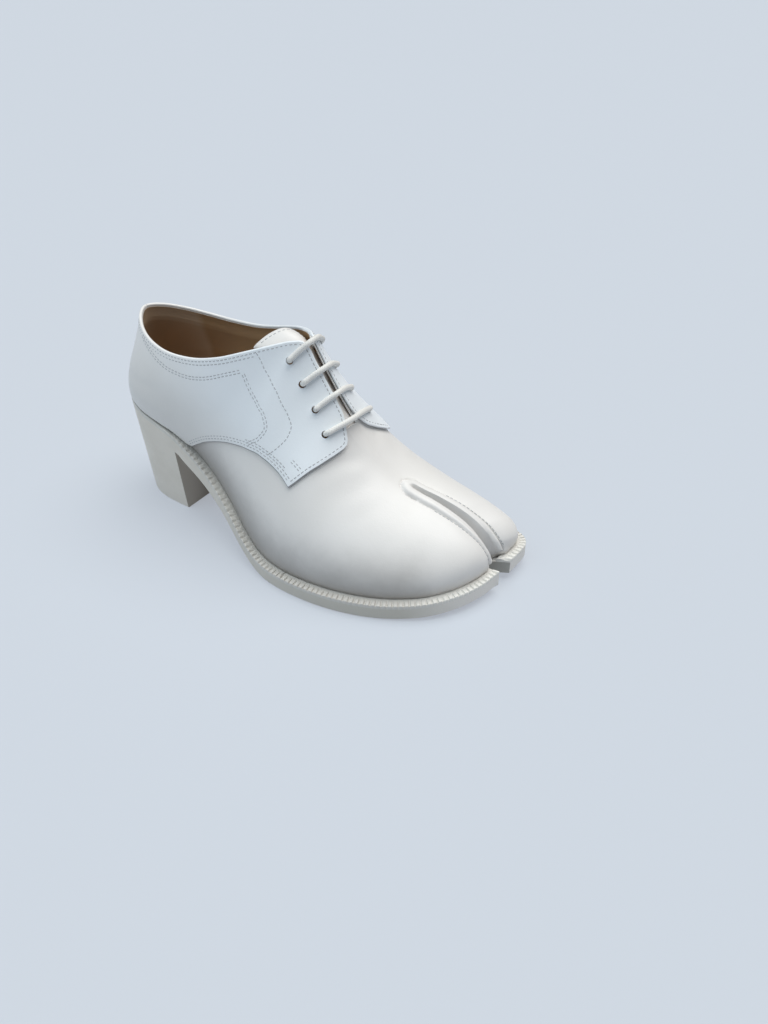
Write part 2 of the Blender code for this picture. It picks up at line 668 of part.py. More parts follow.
def make_lace():
    """Round lace in four bars, straight across from eyelet to eyelet and on to the next pair
    under the facing. Its ends stay hidden behind the first and the last eyelet."""
    below = -(LACE_CLEAR + LACE_RADIUS + WALL + QUARTER_GAP + QUARTER)
    lip = LACE_CLEAR + LACE_RADIUS
    way = np.linspace(0, 1, 5)
    route = []
    for bar in range(len(EYELETS["lateral"])):
        stems, over, out = [], [], 0
        order = ("lateral", "medial") if bar % 2 == 0 else ("medial", "lateral")
        for side, other in (order, order[::-1]):
            section, height = EYELETS[side][bar]
            stems.append(on_quarter(side, section, height, np.array([below, LACE_TURN * below]))[0])
            bridge = section + way / 2 * (EYELETS[other][bar, 0] - section)
            points, normals = on_quarter(side, bridge, height + way * (1 - height), lip)
            over.append(points)
            out = out + normals[-1] * (1, 0, 1)
        line = taut(np.concatenate([over[0], over[1][::-1]]), out / np.linalg.norm(out))
        route += [*stems[0], *line, *stems[1][::-1]]
    route = np.array(route)
    run = np.concatenate([[0], np.cumsum(np.linalg.norm(np.diff(route, axis=0), axis=-1))])
    points = hermite(run, route, np.linspace(0, run[-1], LACE_POINTS))
    curve = bpy.data.curves.new("lace", "CURVE")
    curve.dimensions = "3D"
    curve.bevel_depth = LACE_RADIUS * MM
    curve.bevel_resolution = 1
    curve.use_fill_caps = True
    spline = curve.splines.new("POLY")
    spline.points.add(len(points) - 1)
    for spline_point, point in zip(spline.points, points * MM):
        spline_point.co = (*point, 1.0)
    return new_object("lace", curve, (0.78, 0.76, 0.72), 0.8)


def centre_on_origin(objects):
    """Moves the empty so that the origin is the middle of the box's floor."""
    bpy.context.view_layer.update()
    graph = bpy.context.evaluated_depsgraph_get()
    corners = np.array([corner for obj in objects for corner in obj.evaluated_get(graph).bound_box])
    low, high = corners.min(axis=0), corners.max(axis=0)
    shoe.location = (-(low[0] + high[0]) / 2, -(low[1] + high[1]) / 2, -low[2])


outsole = make_outsole()
insole = make_insole()
welt = make_welt()
heel = make_heel()
upper = make_upper()
quarter_lateral = make_quarter("lateral")
quarter_medial = make_quarter("medial")
tongue = make_tongue()
lace = make_lace()
punch_eyelets([upper, quarter_lateral, quarter_medial])
centre_on_origin([outsole, welt, heel, upper, quarter_lateral, quarter_medial, tongue])
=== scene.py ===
"""Split toe derby, right shoe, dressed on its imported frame: white leather over a tan lining,
a ribbed welt, a painted leather sole with a block heel, and a round lace.

Shapes are worked out in shoe millimetres: x from the back of the heel to the toe, y from the
outer (lateral, negative) to the inner (medial, positive) side, z up from the floor.
"""

import bmesh
import bpy
import numpy as np
from mathutils import Matrix, Vector


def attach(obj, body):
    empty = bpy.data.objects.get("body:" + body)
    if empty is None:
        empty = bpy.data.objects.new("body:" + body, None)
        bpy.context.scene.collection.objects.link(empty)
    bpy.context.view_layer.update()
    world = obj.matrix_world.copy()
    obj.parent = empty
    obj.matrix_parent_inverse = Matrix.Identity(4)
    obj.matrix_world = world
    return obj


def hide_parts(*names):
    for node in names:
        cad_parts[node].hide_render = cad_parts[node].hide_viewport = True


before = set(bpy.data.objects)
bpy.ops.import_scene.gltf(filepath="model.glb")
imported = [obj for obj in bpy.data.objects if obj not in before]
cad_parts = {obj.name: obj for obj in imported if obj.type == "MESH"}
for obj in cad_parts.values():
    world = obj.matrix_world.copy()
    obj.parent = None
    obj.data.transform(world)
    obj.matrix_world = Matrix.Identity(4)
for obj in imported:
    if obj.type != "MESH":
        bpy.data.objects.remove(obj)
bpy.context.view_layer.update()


# Outsole: one layer of sole leather from the toes to the heel seat, split between the toes.
# Its edge is trimmed upright, sealed and painted off-white, and it is sewn to the welt.

MM = 0.001
TO_FRAME = np.array([-123.883, 2.975, 0.0])     # from shoe millimetres to the frame's
WELT_THICK = 2.2
TOE = 22
SOLE_OUTLINE = np.array([
    # lateral x, lateral y, medial x, medial y, welt that shows
    (0.0, 0.0, 0.0, 0.0, 1.5),
    (3.5, -14.5, 3.5, 14.5, 1.5),
    (12.0, -24.0, 12.0, 24.0, 1.6),
    (25.0, -29.8, 25.0, 29.6, 1.8),
    (40.0, -31.6, 40.0, 30.8, 2.4),
    (55.0, -32.3, 55.0, 30.0, 3.8),
    (69.0, -33.6, 69.0, 28.6, 4.8),
    (81.0, -36.2, 81.0, 28.2, 5.0),
    (92.0, -39.8, 92.0, 29.4, 5.0),
    (102.0, -43.8, 102.0, 31.6, 5.0),
    (110.0, -47.2, 110.0, 34.0, 5.0),
    (119.0, -50.5, 119.0, 36.7, 5.0),
    (129.0, -53.5, 129.0, 39.6, 5.0),
    (140.0, -55.4, 140.0, 42.4, 5.0),
    (151.0, -56.1, 151.0, 44.7, 5.1),
    (165.0, -55.6, 166.0, 47.1, 5.2),
    (180.0, -53.3, 182.0, 48.9, 5.3),
    (197.0, -48.3, 199.0, 50.0, 5.4),
    (212.0, -41.3, 215.0, 50.0, 5.5),
    (225.0, -32.3, 229.0, 48.6, 5.5),
    (235.5, -20.0, 241.0, 45.7, 5.5),
    (242.0, -7.0, 247.6, 37.0, 5.5),
    (244.8, 4.0, 247.3, 23.5, 5.5),
])
SOLE_PROFILE = np.array([
    # x, underside z, feather z
    (0.0, 59.5, 68.5),
    (12.0, 57.3, 66.8),
    (25.0, 54.6, 64.0),
    (38.0, 51.0, 60.6),
    (50.0, 44.8, 56.6),
    (63.0, 37.0, 49.6),
    (76.0, 29.3, 41.3),
    (88.0, 22.0, 33.0),
    (99.0, 14.6, 25.0),
    (110.0, 7.8, 17.2),
    (120.0, 2.9, 12.0),
    (131.0, 0.3, 9.8),
    (140.0, 0.0, 9.4),
    (165.0, 0.0, 9.4),
    (190.0, 0.0, 9.6),
    (205.0, 0.5, 10.1),
    (220.0, 1.6, 11.3),
    (235.0, 3.4, 13.1),
    (250.0, 5.8, 15.5),
])
SLOT_ROOT = 19.4
SLOT_ROOT_X = 225.0
SLOT_Y = ((8.6, 7.5), (13.4, 19.6))             # lateral and medial side, at the root and the toe
SLOT_TOE_X = (245.6, 246.4)
HEEL_FRONT = 50.0
HEEL_BASE_BACK = 2.0
HEEL_BASE_FRONT = 47.0
HEEL_BASE_NARROWING = 0.815
SOLE_EDGE_ROUND = 1.3
SOLE_SIDE_ROWS = 10
SOLE_ROW_CROWDING = 0.8         # below 1 the rows of the side lie closer to its lower edge
SOLE_STATIONS = 150
LOBE_STATIONS = 40
HEEL_BLEND = 8.0                # length ahead of the heel over which its taper runs out
WELD = 2e-6                     # metres within which points of a mesh become one
DARKER_FROM_ARCH = (-0.07, 0.06)          # frame x in metres over which the edge paint gets darker
PAINTED_LIGHT_TOE = (0.085, 0.12)       # and over which painted light makes it lighter again, towards the toe


def hermite(knots, values, at):
    """Values on a smooth curve through a table: cubics between the knots whose slopes at each
    knot are the table's own central differences."""
    at = np.clip(np.asarray(at, float), knots[0], knots[-1])
    slopes = np.gradient(values, knots, axis=0)
    i = np.clip(np.searchsorted(knots, at, side="right") - 1, 0, len(knots) - 2)
    step = knots[i + 1] - knots[i]
    t = (at - knots[i]) / step
    if values.ndim > 1:
        t, step = t[..., None], step[..., None]
    return ((2 * t**3 - 3 * t**2 + 1) * values[i] + (t**3 - 2 * t**2 + t) * step * slopes[i]
            + (3 * t**2 - 2 * t**3) * values[i + 1] + (t**3 - t**2) * step * slopes[i + 1])


def ease(value, low, high):
    """Smooth step from 0 at low to 1 at high: a cubic that is level at both ends."""
    t = np.clip((value - low) / (high - low), 0, 1)
    return t * t * (3 - 2 * t)


# Sections run from -22 at the medial toe over 0 at the heel back to 22 at the lateral toe
ROUND_THE_SHOE = np.arange(-TOE, TOE + 1.0)
OUTLINE = np.vstack([SOLE_OUTLINE[:0:-1, 2:4], SOLE_OUTLINE[:, 0:2]])


def sole_edge(section, inset=0.0):
    """Point of the sole's outline, moved in along the outline's normal, and that normal, which is
    the way along turned by a right angle."""
    section = np.asarray(section, float)
    small = 0.01
    point = hermite(ROUND_THE_SHOE, OUTLINE, section)
    along = (hermite(ROUND_THE_SHOE, OUTLINE, section + small)
             - hermite(ROUND_THE_SHOE, OUTLINE, section - small))
    along /= np.linalg.norm(along, axis=-1, keepdims=True)
    inward = np.stack([-along[..., 1], along[..., 0]], axis=-1)
    return point + inward * np.asarray(inset)[..., None], inward


def welt_show(section):
    """Width of welt that shows outside the upper: a curve through the outline table's last column."""
    return hermite(np.arange(TOE + 1.0), SOLE_OUTLINE[:, 4], np.abs(section))


def underside(x):
    """Height of the sole's underside: a curve through the profile table, never below the floor."""
    return np.maximum(hermite(SOLE_PROFILE[:, 0], SOLE_PROFILE[:, 1], x), 0.0)


def feather(x):
    """Height of the feather line, where upper and welt meet: a curve through the profile table."""
    return hermite(SOLE_PROFILE[:, 0], SOLE_PROFILE[:, 2], x)


def at_height(points, heights):
    """Points in plan, joined with their heights."""
    heights = np.broadcast_to(heights, points.shape[:-1])
    return np.concatenate([points, heights[..., None]], axis=-1)


def sole_side(section, drop):
    """Side of the sole: upright from the welt to a rounded lower edge, and over the heel on the
    straight line that tapers down to the heel's base. Drop is 0 at the welt and 1 underneath."""
    section, drop = np.broadcast_arrays(np.asarray(section, float), np.asarray(drop, float))
    edge, inward = sole_edge(section)
    top, low = feather(edge[..., 0]) - WELT_THICK, underside(edge[..., 0])
    height = top + drop * (low - top)
    above = np.clip(height - low, 0, SOLE_EDGE_ROUND)
    inset = SOLE_EDGE_ROUND - np.sqrt(SOLE_EDGE_ROUND**2 - (SOLE_EDGE_ROUND - above)**2)
    upright = edge + inward * inset[..., None]
    tapered = heel_side(edge, height / top)
    over_heel = 1 - ease(edge[..., 0], HEEL_FRONT, HEEL_FRONT + HEEL_BLEND)
    return at_height(upright + over_heel[..., None] * (tapered - upright), height)


def heel_side(edge, up):
    """Heel's outline at a share of its height: the seat's outline, narrowed towards the base."""
    base = np.stack([HEEL_BASE_BACK + edge[..., 0] * (HEEL_BASE_FRONT - HEEL_BASE_BACK) / HEEL_FRONT,
                     edge[..., 1] * HEEL_BASE_NARROWING], axis=-1)
    return base + up[..., None] * (edge - base)


def slot_side(side, share, drop):
    """Upright cut between the toes: in plan a straight line from its root to the toe."""
    share, drop = np.broadcast_arrays(share, drop)
    x = SLOT_ROOT_X + share * (SLOT_TOE_X[side] - SLOT_ROOT_X)
    y = SLOT_Y[side][0] + share * (SLOT_Y[side][1] - SLOT_Y[side][0])
    top, low = feather(x) - WELT_THICK, underside(x)
    return np.stack([x, y, top + drop * (low - top)], axis=-1)


def between(first, last, count):
    """Straight lines between two rows of points, as a patch."""
    share = np.linspace(0, 1, count)[None, :, None]
    return first[:, None] + share * (last - first)[:, None]


def make_piece(name, patches, materials, caps=(), sharp=40.0, attributes=None):
    """One mesh from patches of points in shoe millimetres: quads between the neighbouring rows
    and columns of a patch, shared edges welded, faces turned outwards. A patch may hold many
    like grids, and may be a tuple of its points, its two surface coordinates (kept as a UV map)
    and its material's number. Caps are single faces. Attributes are numbers for every point."""
    points, coordinates, faces, slots, start = [], [], [], [], 0
    for patch in patches:
        grid, uv, slot = patch if isinstance(patch, tuple) else (patch, None, 0)
        rows, columns = grid.shape[-3:-1]
        if uv is None:
            shares = (np.linspace(0, 1, count) for count in (rows, columns))
            uv = np.stack(np.meshgrid(*shares, indexing="ij"), axis=-1)
        corner = start + np.arange(grid[..., 0].size).reshape(grid.shape[:-1])
        quads = np.stack([corner[..., :-1, :-1], corner[..., 1:, :-1],
                          corner[..., 1:, 1:], corner[..., :-1, 1:]], axis=-1)
        points.append(grid.reshape(-1, 3))
        coordinates.append(np.broadcast_to(uv, (*grid.shape[:-1], 2)).reshape(-1, 2))
        faces += quads.reshape(-1, 4).tolist()
        slots += [slot] * (quads.size // 4)
        start += corner.size
    for cap in caps:
        points.append(cap)
        coordinates.append(np.zeros((len(cap), 2)))
        faces.append(list(range(start, start + len(cap))))
        slots.append(0)
        start += len(cap)
    mesh = bpy.data.meshes.new(name)
    mesh.from_pydata(((np.concatenate(points) + TO_FRAME) * MM).tolist(), [], faces)
    mesh.polygons.foreach_set("material_index", np.array(slots, np.int32))
    corner_point = np.zeros(len(mesh.loops), np.int32)
    mesh.loops.foreach_get("vertex_index", corner_point)
    surface = mesh.uv_layers.new(name="surface")
    surface.data.foreach_set("uv", np.concatenate(coordinates)[corner_point].ravel())
    for label, values in (attributes or {}).items():
        layer = mesh.attributes.new(label, "FLOAT", "POINT")
        layer.data.foreach_set("value", np.resize(values, start).astype(np.float32))
    shape = bmesh.new()
    shape.from_mesh(mesh)
    bmesh.ops.remove_doubles(shape, verts=shape.verts, dist=WELD)
    bmesh.ops.recalc_face_normals(shape, faces=shape.faces)
    shape.to_mesh(mesh)
    shape.free()
    mesh.shade_smooth()
    mesh.set_sharp_from_angle(angle=np.radians(sharp))
    for material in materials:
        mesh.materials.append(material)
    piece = bpy.data.objects.new(name, mesh)
    bpy.context.scene.collection.objects.link(piece)
    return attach(piece, "root")


class Finish:
    """A procedural material. Each node is added by its type, with its settings and inputs; an
    input may be another node's output."""

    def __init__(self, name, **shader):
        """A new material whose shader starts with the inputs given."""
        self.material = bpy.data.materials.new(name)
        self.material.use_nodes = True
        self.tree = self.material.node_tree
        self.shader = self.tree.nodes["Principled BSDF"]
        self.paint(**shader)

    def give(self, socket, value):
        """Links another node's output to an input, or sets the input to a plain value."""
        if isinstance(value, bpy.types.NodeSocket):
            self.tree.links.new(value, socket)
        else:
            socket.default_value = value

    def set(self, node, inputs):
        """Gives a node its inputs by name, where _ stands for a blank."""
        for key, value in inputs.items():
            self.give(node.inputs[key.replace("_", " ")], value)

    def paint(self, **inputs):
        """Gives the shader itself its inputs."""
        self.set(self.shader, inputs)

    def add(self, kind, settings=None, **inputs):
        """A new node of a kind, with its settings and its inputs."""
        node = self.tree.nodes.new("ShaderNode" + kind)
        for key, value in (settings or {}).items():
            setattr(node, key, value)
        self.set(node, inputs)
        return node

    def math(self, operation, *values):
        """Result of one sum on the values, taken in their order."""
        node = self.add("Math", {"operation": operation})
        for socket, value in zip(node.inputs, values):
            self.give(socket, value)
        return node.outputs["Value"]

    def place(self):
        """Where a point lies in the frame, in metres."""
        return self.add("TexCoord").outputs["Object"]

    def rise(self, value, start, end):
        """Smooth step of a value: 0 up to the start, 1 from the end on."""
        step = self.add("MapRange", {"interpolation_type": "SMOOTHSTEP"}, Value=value,
                        From_Min=start, From_Max=end)
        return step.outputs["Result"]

    def along(self, axis, start, end):
        """Smooth step along an axis of the frame, between two places in metres."""
        place = self.add("SeparateXYZ", Vector=self.place())
        return self.rise(place.outputs[axis], start, end)

    def ramp(self, value, *stops):
        """Colour or grey by a value, eased between two stops: each is its place and its colour."""
        node = self.add("ValToRGB", Fac=value)
        node.color_ramp.interpolation = "EASE"
        for element, (place, colour) in zip(node.color_ramp.elements, stops):
            element.position = place
            element.color = (*colour, 1.0) if np.ndim(colour) else (colour, colour, colour, 1.0)
        return node.outputs["Color"]

    def blend(self, share, first, second):
        """One colour passing into another by a share: the plain mix of the two."""
        colours = {key: (*c, 1.0) if isinstance(c, tuple) else c for key, c in
                   (("Color1", first), ("Color2", second))}
        return self.add("MixRGB", Fac=share, **colours).outputs["Color"]

    def noise(self, scale, detail, roughness):
        """Cloudy greys over the piece, about as many to a metre as the scale."""
        cloud = self.add("TexNoise", Vector=self.place(), Scale=scale, Detail=detail, Roughness=roughness)
        return cloud.outputs["Fac"]

    def bump(self, height, strength, distance, **under):
        """Normal of a surface raised by a height, over another bump's normal where one is given."""
        node = self.add("Bump", Height=height, Strength=strength, Distance=distance, **under)
        return node.outputs["Normal"]


def painted_edge(name, colour, shade, darker_tone, toe):
    """Edge paint on leather: a thin satin coat with faint brush streaks and soft stains, which
    turns to a darker tone from the arch on, and is lighter again at the toe as painted light."""
    finish = Finish(name, Roughness=0.46, Specular_IOR_Level=0.4)
    stains = finish.noise(55.0, 5.0, 0.6)
    colours = finish.ramp(stains, (0.3, shade), (0.62, colour))
    darkened = finish.blend(finish.along("X", *DARKER_FROM_ARCH), colours, darker_tone)
    streaks = finish.noise(900.0, 4.0, 0.6)
    finish.paint(Base_Color=finish.blend(finish.along("X", *PAINTED_LIGHT_TOE), darkened, toe),
                 Roughness=finish.ramp(streaks, (0.2, 0.38), (0.8, 0.56)),
                 Normal=finish.bump(streaks, 0.25, 0.0002))
    return finish.material


def make_sole():
    """Top, sides and underside of the body, then of a lobe on either side of the slot."""
    drop = np.linspace(0, 1, SOLE_SIDE_ROWS)**SOLE_ROW_CROWDING
    body = np.linspace(0, SLOT_ROOT, SOLE_STATIONS)
    lateral = sole_side(body[:, None], drop[None, :])
    medial = sole_side(-body[:, None], drop[None, :])
    root = [slot_side(side, np.array(0.0), drop) for side in (0, 1)]
    patches = [lateral, medial]
    for row in (0, -1):
        left, across = lateral[:, row], (medial - lateral)[:, row]
        share = [(corner[row, 1] - left[-1, 1]) / across[-1, 1] for corner in root]
        rails = [left, *(left + s * across for s in share), medial[:, row]]
        rails[1][-1], rails[2][-1] = root[0][row], root[1][row]
        patches.append(np.stack(rails, axis=1))
    patches.append((np.stack(root), None, 1))
    tip = np.linspace(SLOT_ROOT, TOE, LOBE_STATIONS)
    for side, sign in ((0, 1), (1, -1)):
        outer = sole_side(sign * tip[:, None], drop[None, :])
        inner = slot_side(side, np.linspace(0, 1, len(tip))[:, None], drop[None, :])
        patches += [outer, (inner, None, 1), np.stack([outer[-1], inner[-1]])]
        patches += [np.stack([outer[:, row], inner[:, row]], axis=1) for row in (0, -1)]
    return patches


# The last colour, lighter, is painted light on the toe's edges, which the lamps leave dim
sole_paint = painted_edge("sole_edge_paint", (0.75, 0.705, 0.63), (0.70, 0.655, 0.58), (0.55, 0.525, 0.47),
                          (0.84, 0.81, 0.77))
# The cut faces of the slot are painted dark grey: painted shade of the lobes over them
slot_shade_paint = painted_edge("slot_painted_shade", (0.40, 0.39, 0.36), (0.32, 0.31, 0.285), (0.36, 0.35, 0.32),
                          (0.38, 0.37, 0.34))
outsole = make_piece("sole", make_sole(), [sole_paint, slot_shade_paint])
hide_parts("outsole")


# Heel: a stack of leather lifts, nailed under the seat and sanded to one tapered block. Its sides
# are painted with the sole's edge, so that no layer shows; the straight breast is left bare, and
# its colour darkens towards the inner side as painted shade under the arch.

HEEL_ROUND = 0.9
HEEL_STATIONS = 60
HEEL_ROWS = 12
HEEL_FIRST_ROW = 0.05           # share of the height where the rows above the base's round start
ARCH = 8                        # a section ahead of the heel
BREAST_COLUMNS = 8
BREAST_SHADE = (-0.026, 0.016)  # frame y in metres over which painted shade darkens the breast


def make_heel():
    """Two ruled sides from the base to the sole, with a small round at the base, then breast,
    base and seat."""
    fine = np.linspace(0, ARCH, 800)
    end = np.interp(HEEL_FRONT, sole_edge(fine)[0][:, 0], fine)
    turn = np.linspace(0, np.pi / 2, 5)
    share = np.linspace(HEEL_FIRST_ROW, 1, HEEL_ROWS)
    inset = np.concatenate([HEEL_ROUND * (1 - np.sin(turn)), np.zeros(HEEL_ROWS)])
    patches = []
    for sign in (1, -1):
        edge, inward = sole_edge(sign * np.linspace(0, end, HEEL_STATIONS))
        top, low = feather(edge[:, :1]) - WELT_THICK, underside(edge[:, :1])
        height = np.concatenate([HEEL_ROUND * (1 - np.cos(turn)) + 0 * low, share * low], axis=1)
        side = heel_side(edge[:, None], height / top) + inward[:, None] * inset[None, :, None]
        patches.append(at_height(side, height))
    lateral, medial = patches
    patches.append((between(lateral[-1], medial[-1], BREAST_COLUMNS), None, 1))
    patches += [between(lateral[:, row], medial[:, row], BREAST_COLUMNS) for row in (0, -1)]
    return patches


def painted_shade_breast(name, light, dark):
    """Unpainted lifts of the breast: brown-grey, with painted shade darkening it to the inner side."""
    finish = Finish(name, Roughness=0.8, Specular_IOR_Level=0.2)
    dust = finish.noise(300.0, 4.0, 0.6)
    finish.paint(Base_Color=finish.blend(finish.along("Y", *BREAST_SHADE), light, dark),
                 Roughness=finish.ramp(dust, (0.2, 0.7), (0.8, 0.9)))
    return finish.material


shaded_bare_breast = painted_shade_breast("painted_shade_breast", (0.42, 0.385, 0.34), (0.06, 0.045, 0.033))
heel = make_piece("heel_block", make_heel(), [sole_paint, shaded_bare_breast])
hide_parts("heel")


# Welt: a strip of leather sewn round the lasted upper from lobe to lobe. Its outer edge is
# wheeled: a heated wheel presses ribs across it, from the heel breast to the toes.

WELT_UNDER_UPPER = 2.2
WELT_EDGE_ROUND = 0.7
WELT_ROWS = (0.35, 0.6, 0.72, 0.8, 1.0)     # shares of the width that shows
RIB_PITCH = 3.0
RIB_DEPTH = 0.95
RIB_STEPS = 12
RIB_SLOPE = (0.78, 0.95)        # values of the cosine between which a rib's flank falls
RIB_INSET = 0.35                # share of a groove's depth that goes in from the edge
RIBS_FROM = (4.2, 5.6)          # sections over which the ribs start, at the heel breast
RIBS_END = (0.55, 0.8)          # shares of the width over which the grooves run out
SEAM_AT = 0.8                   # share of the width where the seam lies
SEAM_WIDTH = 0.06
SEAM_DEPTH = 0.25
JOINT = 13.36                   # section where the strip's two ends meet
JOINT_DEPTH = 1.1
JOINT_WIDTH = 0.3


def run_along(line):
    """Distance of every point of a line from its first: the sum of the steps up to it."""
    return np.concatenate([[0], np.cumsum(np.linalg.norm(np.diff(line, axis=0), axis=-1))])


def welt_line(section, inset):
    """The sole's outline, moved in; past the last section straight across the toe to the slot's
    corner, where what is moved in follows the slot's side."""
    along, _ = sole_edge(np.clip(section, -TOE, TOE), inset)
    corners = [slot_side(side, np.array((1.0, 0.0)), np.zeros(2))[:, :2] for side in (1, 0)]
    toe, root = np.stack(corners, axis=1)[:, (section > 0).astype(int)]
    back = (root - toe) / np.linalg.norm(root - toe, axis=-1, keepdims=True)
    beyond = np.clip(np.abs(section) - TOE, 0, 1)[:, None]
    return along + beyond * (toe + inset[:, None] * back - along)


def make_welt():
    """Profile of the strip carried round the outline. Ribs are square bars with eased edges: the
    groove between them is a smooth step of a cosine of the run along the edge."""
    fine = np.linspace(-TOE - 1, TOE + 1, 6000)
    run = run_along(welt_line(fine, 0 * fine))
    count = int(run[-1] / RIB_PITCH) * RIB_STEPS
    along = np.linspace(0, run[-1], count + 1)
    section = np.interp(along, run, fine)
    groove = RIB_DEPTH * ease(np.abs(np.cos(np.pi * along / RIB_PITCH)), *RIB_SLOPE)
    groove = groove * ease(np.abs(section), *RIBS_FROM)
    joint = JOINT_DEPTH * np.exp(-((along - np.interp(JOINT, fine, run)) / JOINT_WIDTH)**2)
    show = welt_show(section)
    whole = show + WELT_UNDER_UPPER
    inset, drop = [whole, 0 * whole], [WELT_THICK + 0 * whole] * 2
    for angle in np.linspace(0, np.pi / 2, 5):
        inset.append(WELT_EDGE_ROUND * (1 - np.cos(angle)) + RIB_INSET * groove)
        drop.append(WELT_EDGE_ROUND * (1 - np.sin(angle)) + groove * np.sin(angle))
    for share in WELT_ROWS:
        seam = SEAM_DEPTH * np.exp(-((share - SEAM_AT) / SEAM_WIDTH)**2)
        inset.append(share * show)
        drop.append(groove * (1 - ease(share, *RIBS_END)) + joint + seam)
    inset.append(whole)
    drop.append(0 * whole)
    ring = []
    for one_inset, one_drop in zip(inset + inset[:1], drop + drop[:1]):
        point = welt_line(section, one_inset)
        ring.append(at_height(point, feather(point[:, 0]) - one_drop))
    ring = np.stack(ring, axis=1)
    return [ring], [ring[0, :-1], ring[-1, :-1]]


# Here too the lighter toe colour is painted light
welt_paint = painted_edge("welt_paint", (0.70, 0.68, 0.63), (0.62, 0.60, 0.56), (0.59, 0.57, 0.535),
                          (0.78, 0.765, 0.725))
strips, ends = make_welt()
welt = make_piece("wheeled_welt", strips, [welt_paint], caps=ends)
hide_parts("welt")


# Insole: a board that the upper is lasted to, cut to lie inside the welt. It is covered with a
# glued sock of the lining's tan leather.

INSOLE_INSET = 2.8
INSOLE_RISE = 1.0
INSOLE_THICK = 3.0
INSOLE_DISH = 0.8
INSOLE_SPAN = (0.02, 19.0)      # first and last section
INSOLE_COLUMNS = 25
GRIP_EDGE = (-0.094, -0.088)    # frame x in metres where the heel grip's leather ends


def make_insole():
    """The inside outline filled across by straight lines, and dished by a fourth power."""
    section = np.linspace(*INSOLE_SPAN, 120)
    lateral, _ = sole_edge(section, welt_show(section) + INSOLE_INSET)
    medial, _ = sole_edge(-section, welt_show(section) + INSOLE_INSET)
    across = between(lateral, medial, INSOLE_COLUMNS)
    share = np.linspace(-1, 1, INSOLE_COLUMNS)[None, :]
    top = feather(across[..., 0]) + INSOLE_RISE - INSOLE_DISH * (1 - share**4)
    low = feather(across[..., 0]) + INSOLE_RISE - INSOLE_THICK
    top, low = at_height(across, top), at_height(across, low)
    sides = [np.stack([top[:, i], low[:, i]], axis=1) for i in (0, -1)]
    return [top, low, *sides, np.stack([top[0], low[0]]), np.stack([top[-1], low[-1]])]


def lining_leather(name, colour, darker_tone, grip):
    """Tan vegetable-tanned lining: matt, with a fine grain, and darker where the foot rubs. At the
    heel it is turned flesh side out, which is greyer and holds the foot."""
    finish = Finish(name, Roughness=0.72, Specular_IOR_Level=0.3)
    patches = finish.ramp(finish.noise(32.0, 5.0, 0.6), (0.32, darker_tone), (0.66, colour))
    finish.paint(Base_Color=finish.blend(finish.along("X", *GRIP_EDGE), grip, patches),
                 Normal=finish.bump(finish.noise(1500.0, 4.0, 0.6), 0.35, 0.0003))
    return finish.material


tan_lining = lining_leather("tan_lining", (0.38, 0.24, 0.125), (0.36, 0.225, 0.125), (0.47, 0.345, 0.24))
insole = make_piece("sock", make_insole(), [tan_lining])
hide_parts("insole")


# Upper: the vamp and the counters under the quarters, lasted in one hollow shell, white leather
# outside and tan lining inside. A cleft parts the toes, its lips sewn up as two round beads.

TOP_LINE = np.array([
    # x, lateral y, medial y, z: collar, then facing edge, then ridge of the vamp and cleft's lips
    (12.0, 0.0, 0.0, 117.0),
    (17.0, -9.0, 9.0, 115.8),
    (27.0, -17.5, 17.5, 112.6),
    (39.0, -23.0, 23.0, 109.8),
    (54.0, -26.0, 26.0, 108.2),
    (72.0, -26.0, 26.0, 109.2),
    (88.0, -24.0, 24.0, 112.8),
    (101.0, -20.0, 20.0, 117.2),
    (114.0, -14.0, 14.0, 121.6),
    (125.0, -7.5, 6.4, 124.6),
    (131.5, -3.6, 1.8, 123.4),
    (138.0, -3.4, 0.9, 113.5),
    (145.0, -3.5, 0.7, 102.5),
    (152.0, -3.8, 1.3, 91.0),
    (158.0, -4.5, 3.8, 79.0),
    (168.0, -1.8, 4.0, 67.0),
    (180.0, 0.3, 5.4, 57.0),
    (193.0, 2.0, 8.0, 50.0),
    (206.0, 3.8, 11.0, 45.5),
    (218.0, 5.2, 13.8, 40.2),
    (228.5, 6.2, 15.8, 33.5),
    (235.0, 6.8, 17.4, 26.5),
    (238.5, 7.2, 19.0, 20.5),
])
FULLNESS = np.array([
    # section, foot out, top back, lateral foot up, top out, top down, medial foot up, top out, top down
    (0, 1.0, 0.0, 16.0, 2.0, 16.0, 16.0, 2.0, 16.0),
    (4, 4.0, 4.0, 16.0, 3.0, 16.0, 16.0, 3.0, 16.0),
    (8, 4.0, 5.0, 28.0, 9.0, 22.0, 28.0, 11.0, 20.0),
    (10, 4.0, 8.0, 32.0, 18.0, 16.0, 34.0, 28.0, 3.0),
    (12, 4.0, 7.0, 30.0, 22.0, 16.0, 38.0, 33.0, -1.0),
    (14, 4.0, 4.0, 26.0, 24.0, 9.0, 40.0, 32.0, -5.0),
    (16, 4.0, 0.0, 24.0, 24.0, 3.0, 36.0, 28.0, -3.0),
    (18, 4.0, 0.0, 18.0, 18.0, 0.0, 24.0, 21.0, -2.0),
    (20, 3.5, 0.0, 13.0, 12.0, 0.0, 15.0, 13.0, -1.0),
    (22, 1.5, 0.0, 3.0, 1.5, 1.0, 3.0, 1.5, 1.0),
])
WELT_GAP = 0.3                  # between the welt and the upper
UPPER_THICK = 2.0
FINE_FROM = 0.8                 # height on the wall from where its rows lie closer
COLLAR_END = (9.0, 10.0)        # sections over which the collar passes into the throat
COLLAR_DROP = 1.6               # the shell ends this far below the collar's rolled edge
COLLAR_THIN = 0.4               # share of the thickness left there
COLLAR_PARED = (1.0, 9.0)       # distance down from the edge over which the thickness returns
THROAT = 13.8
THROAT_END = (14.6, 15.4)       # sections over which the throat's pared edge runs out
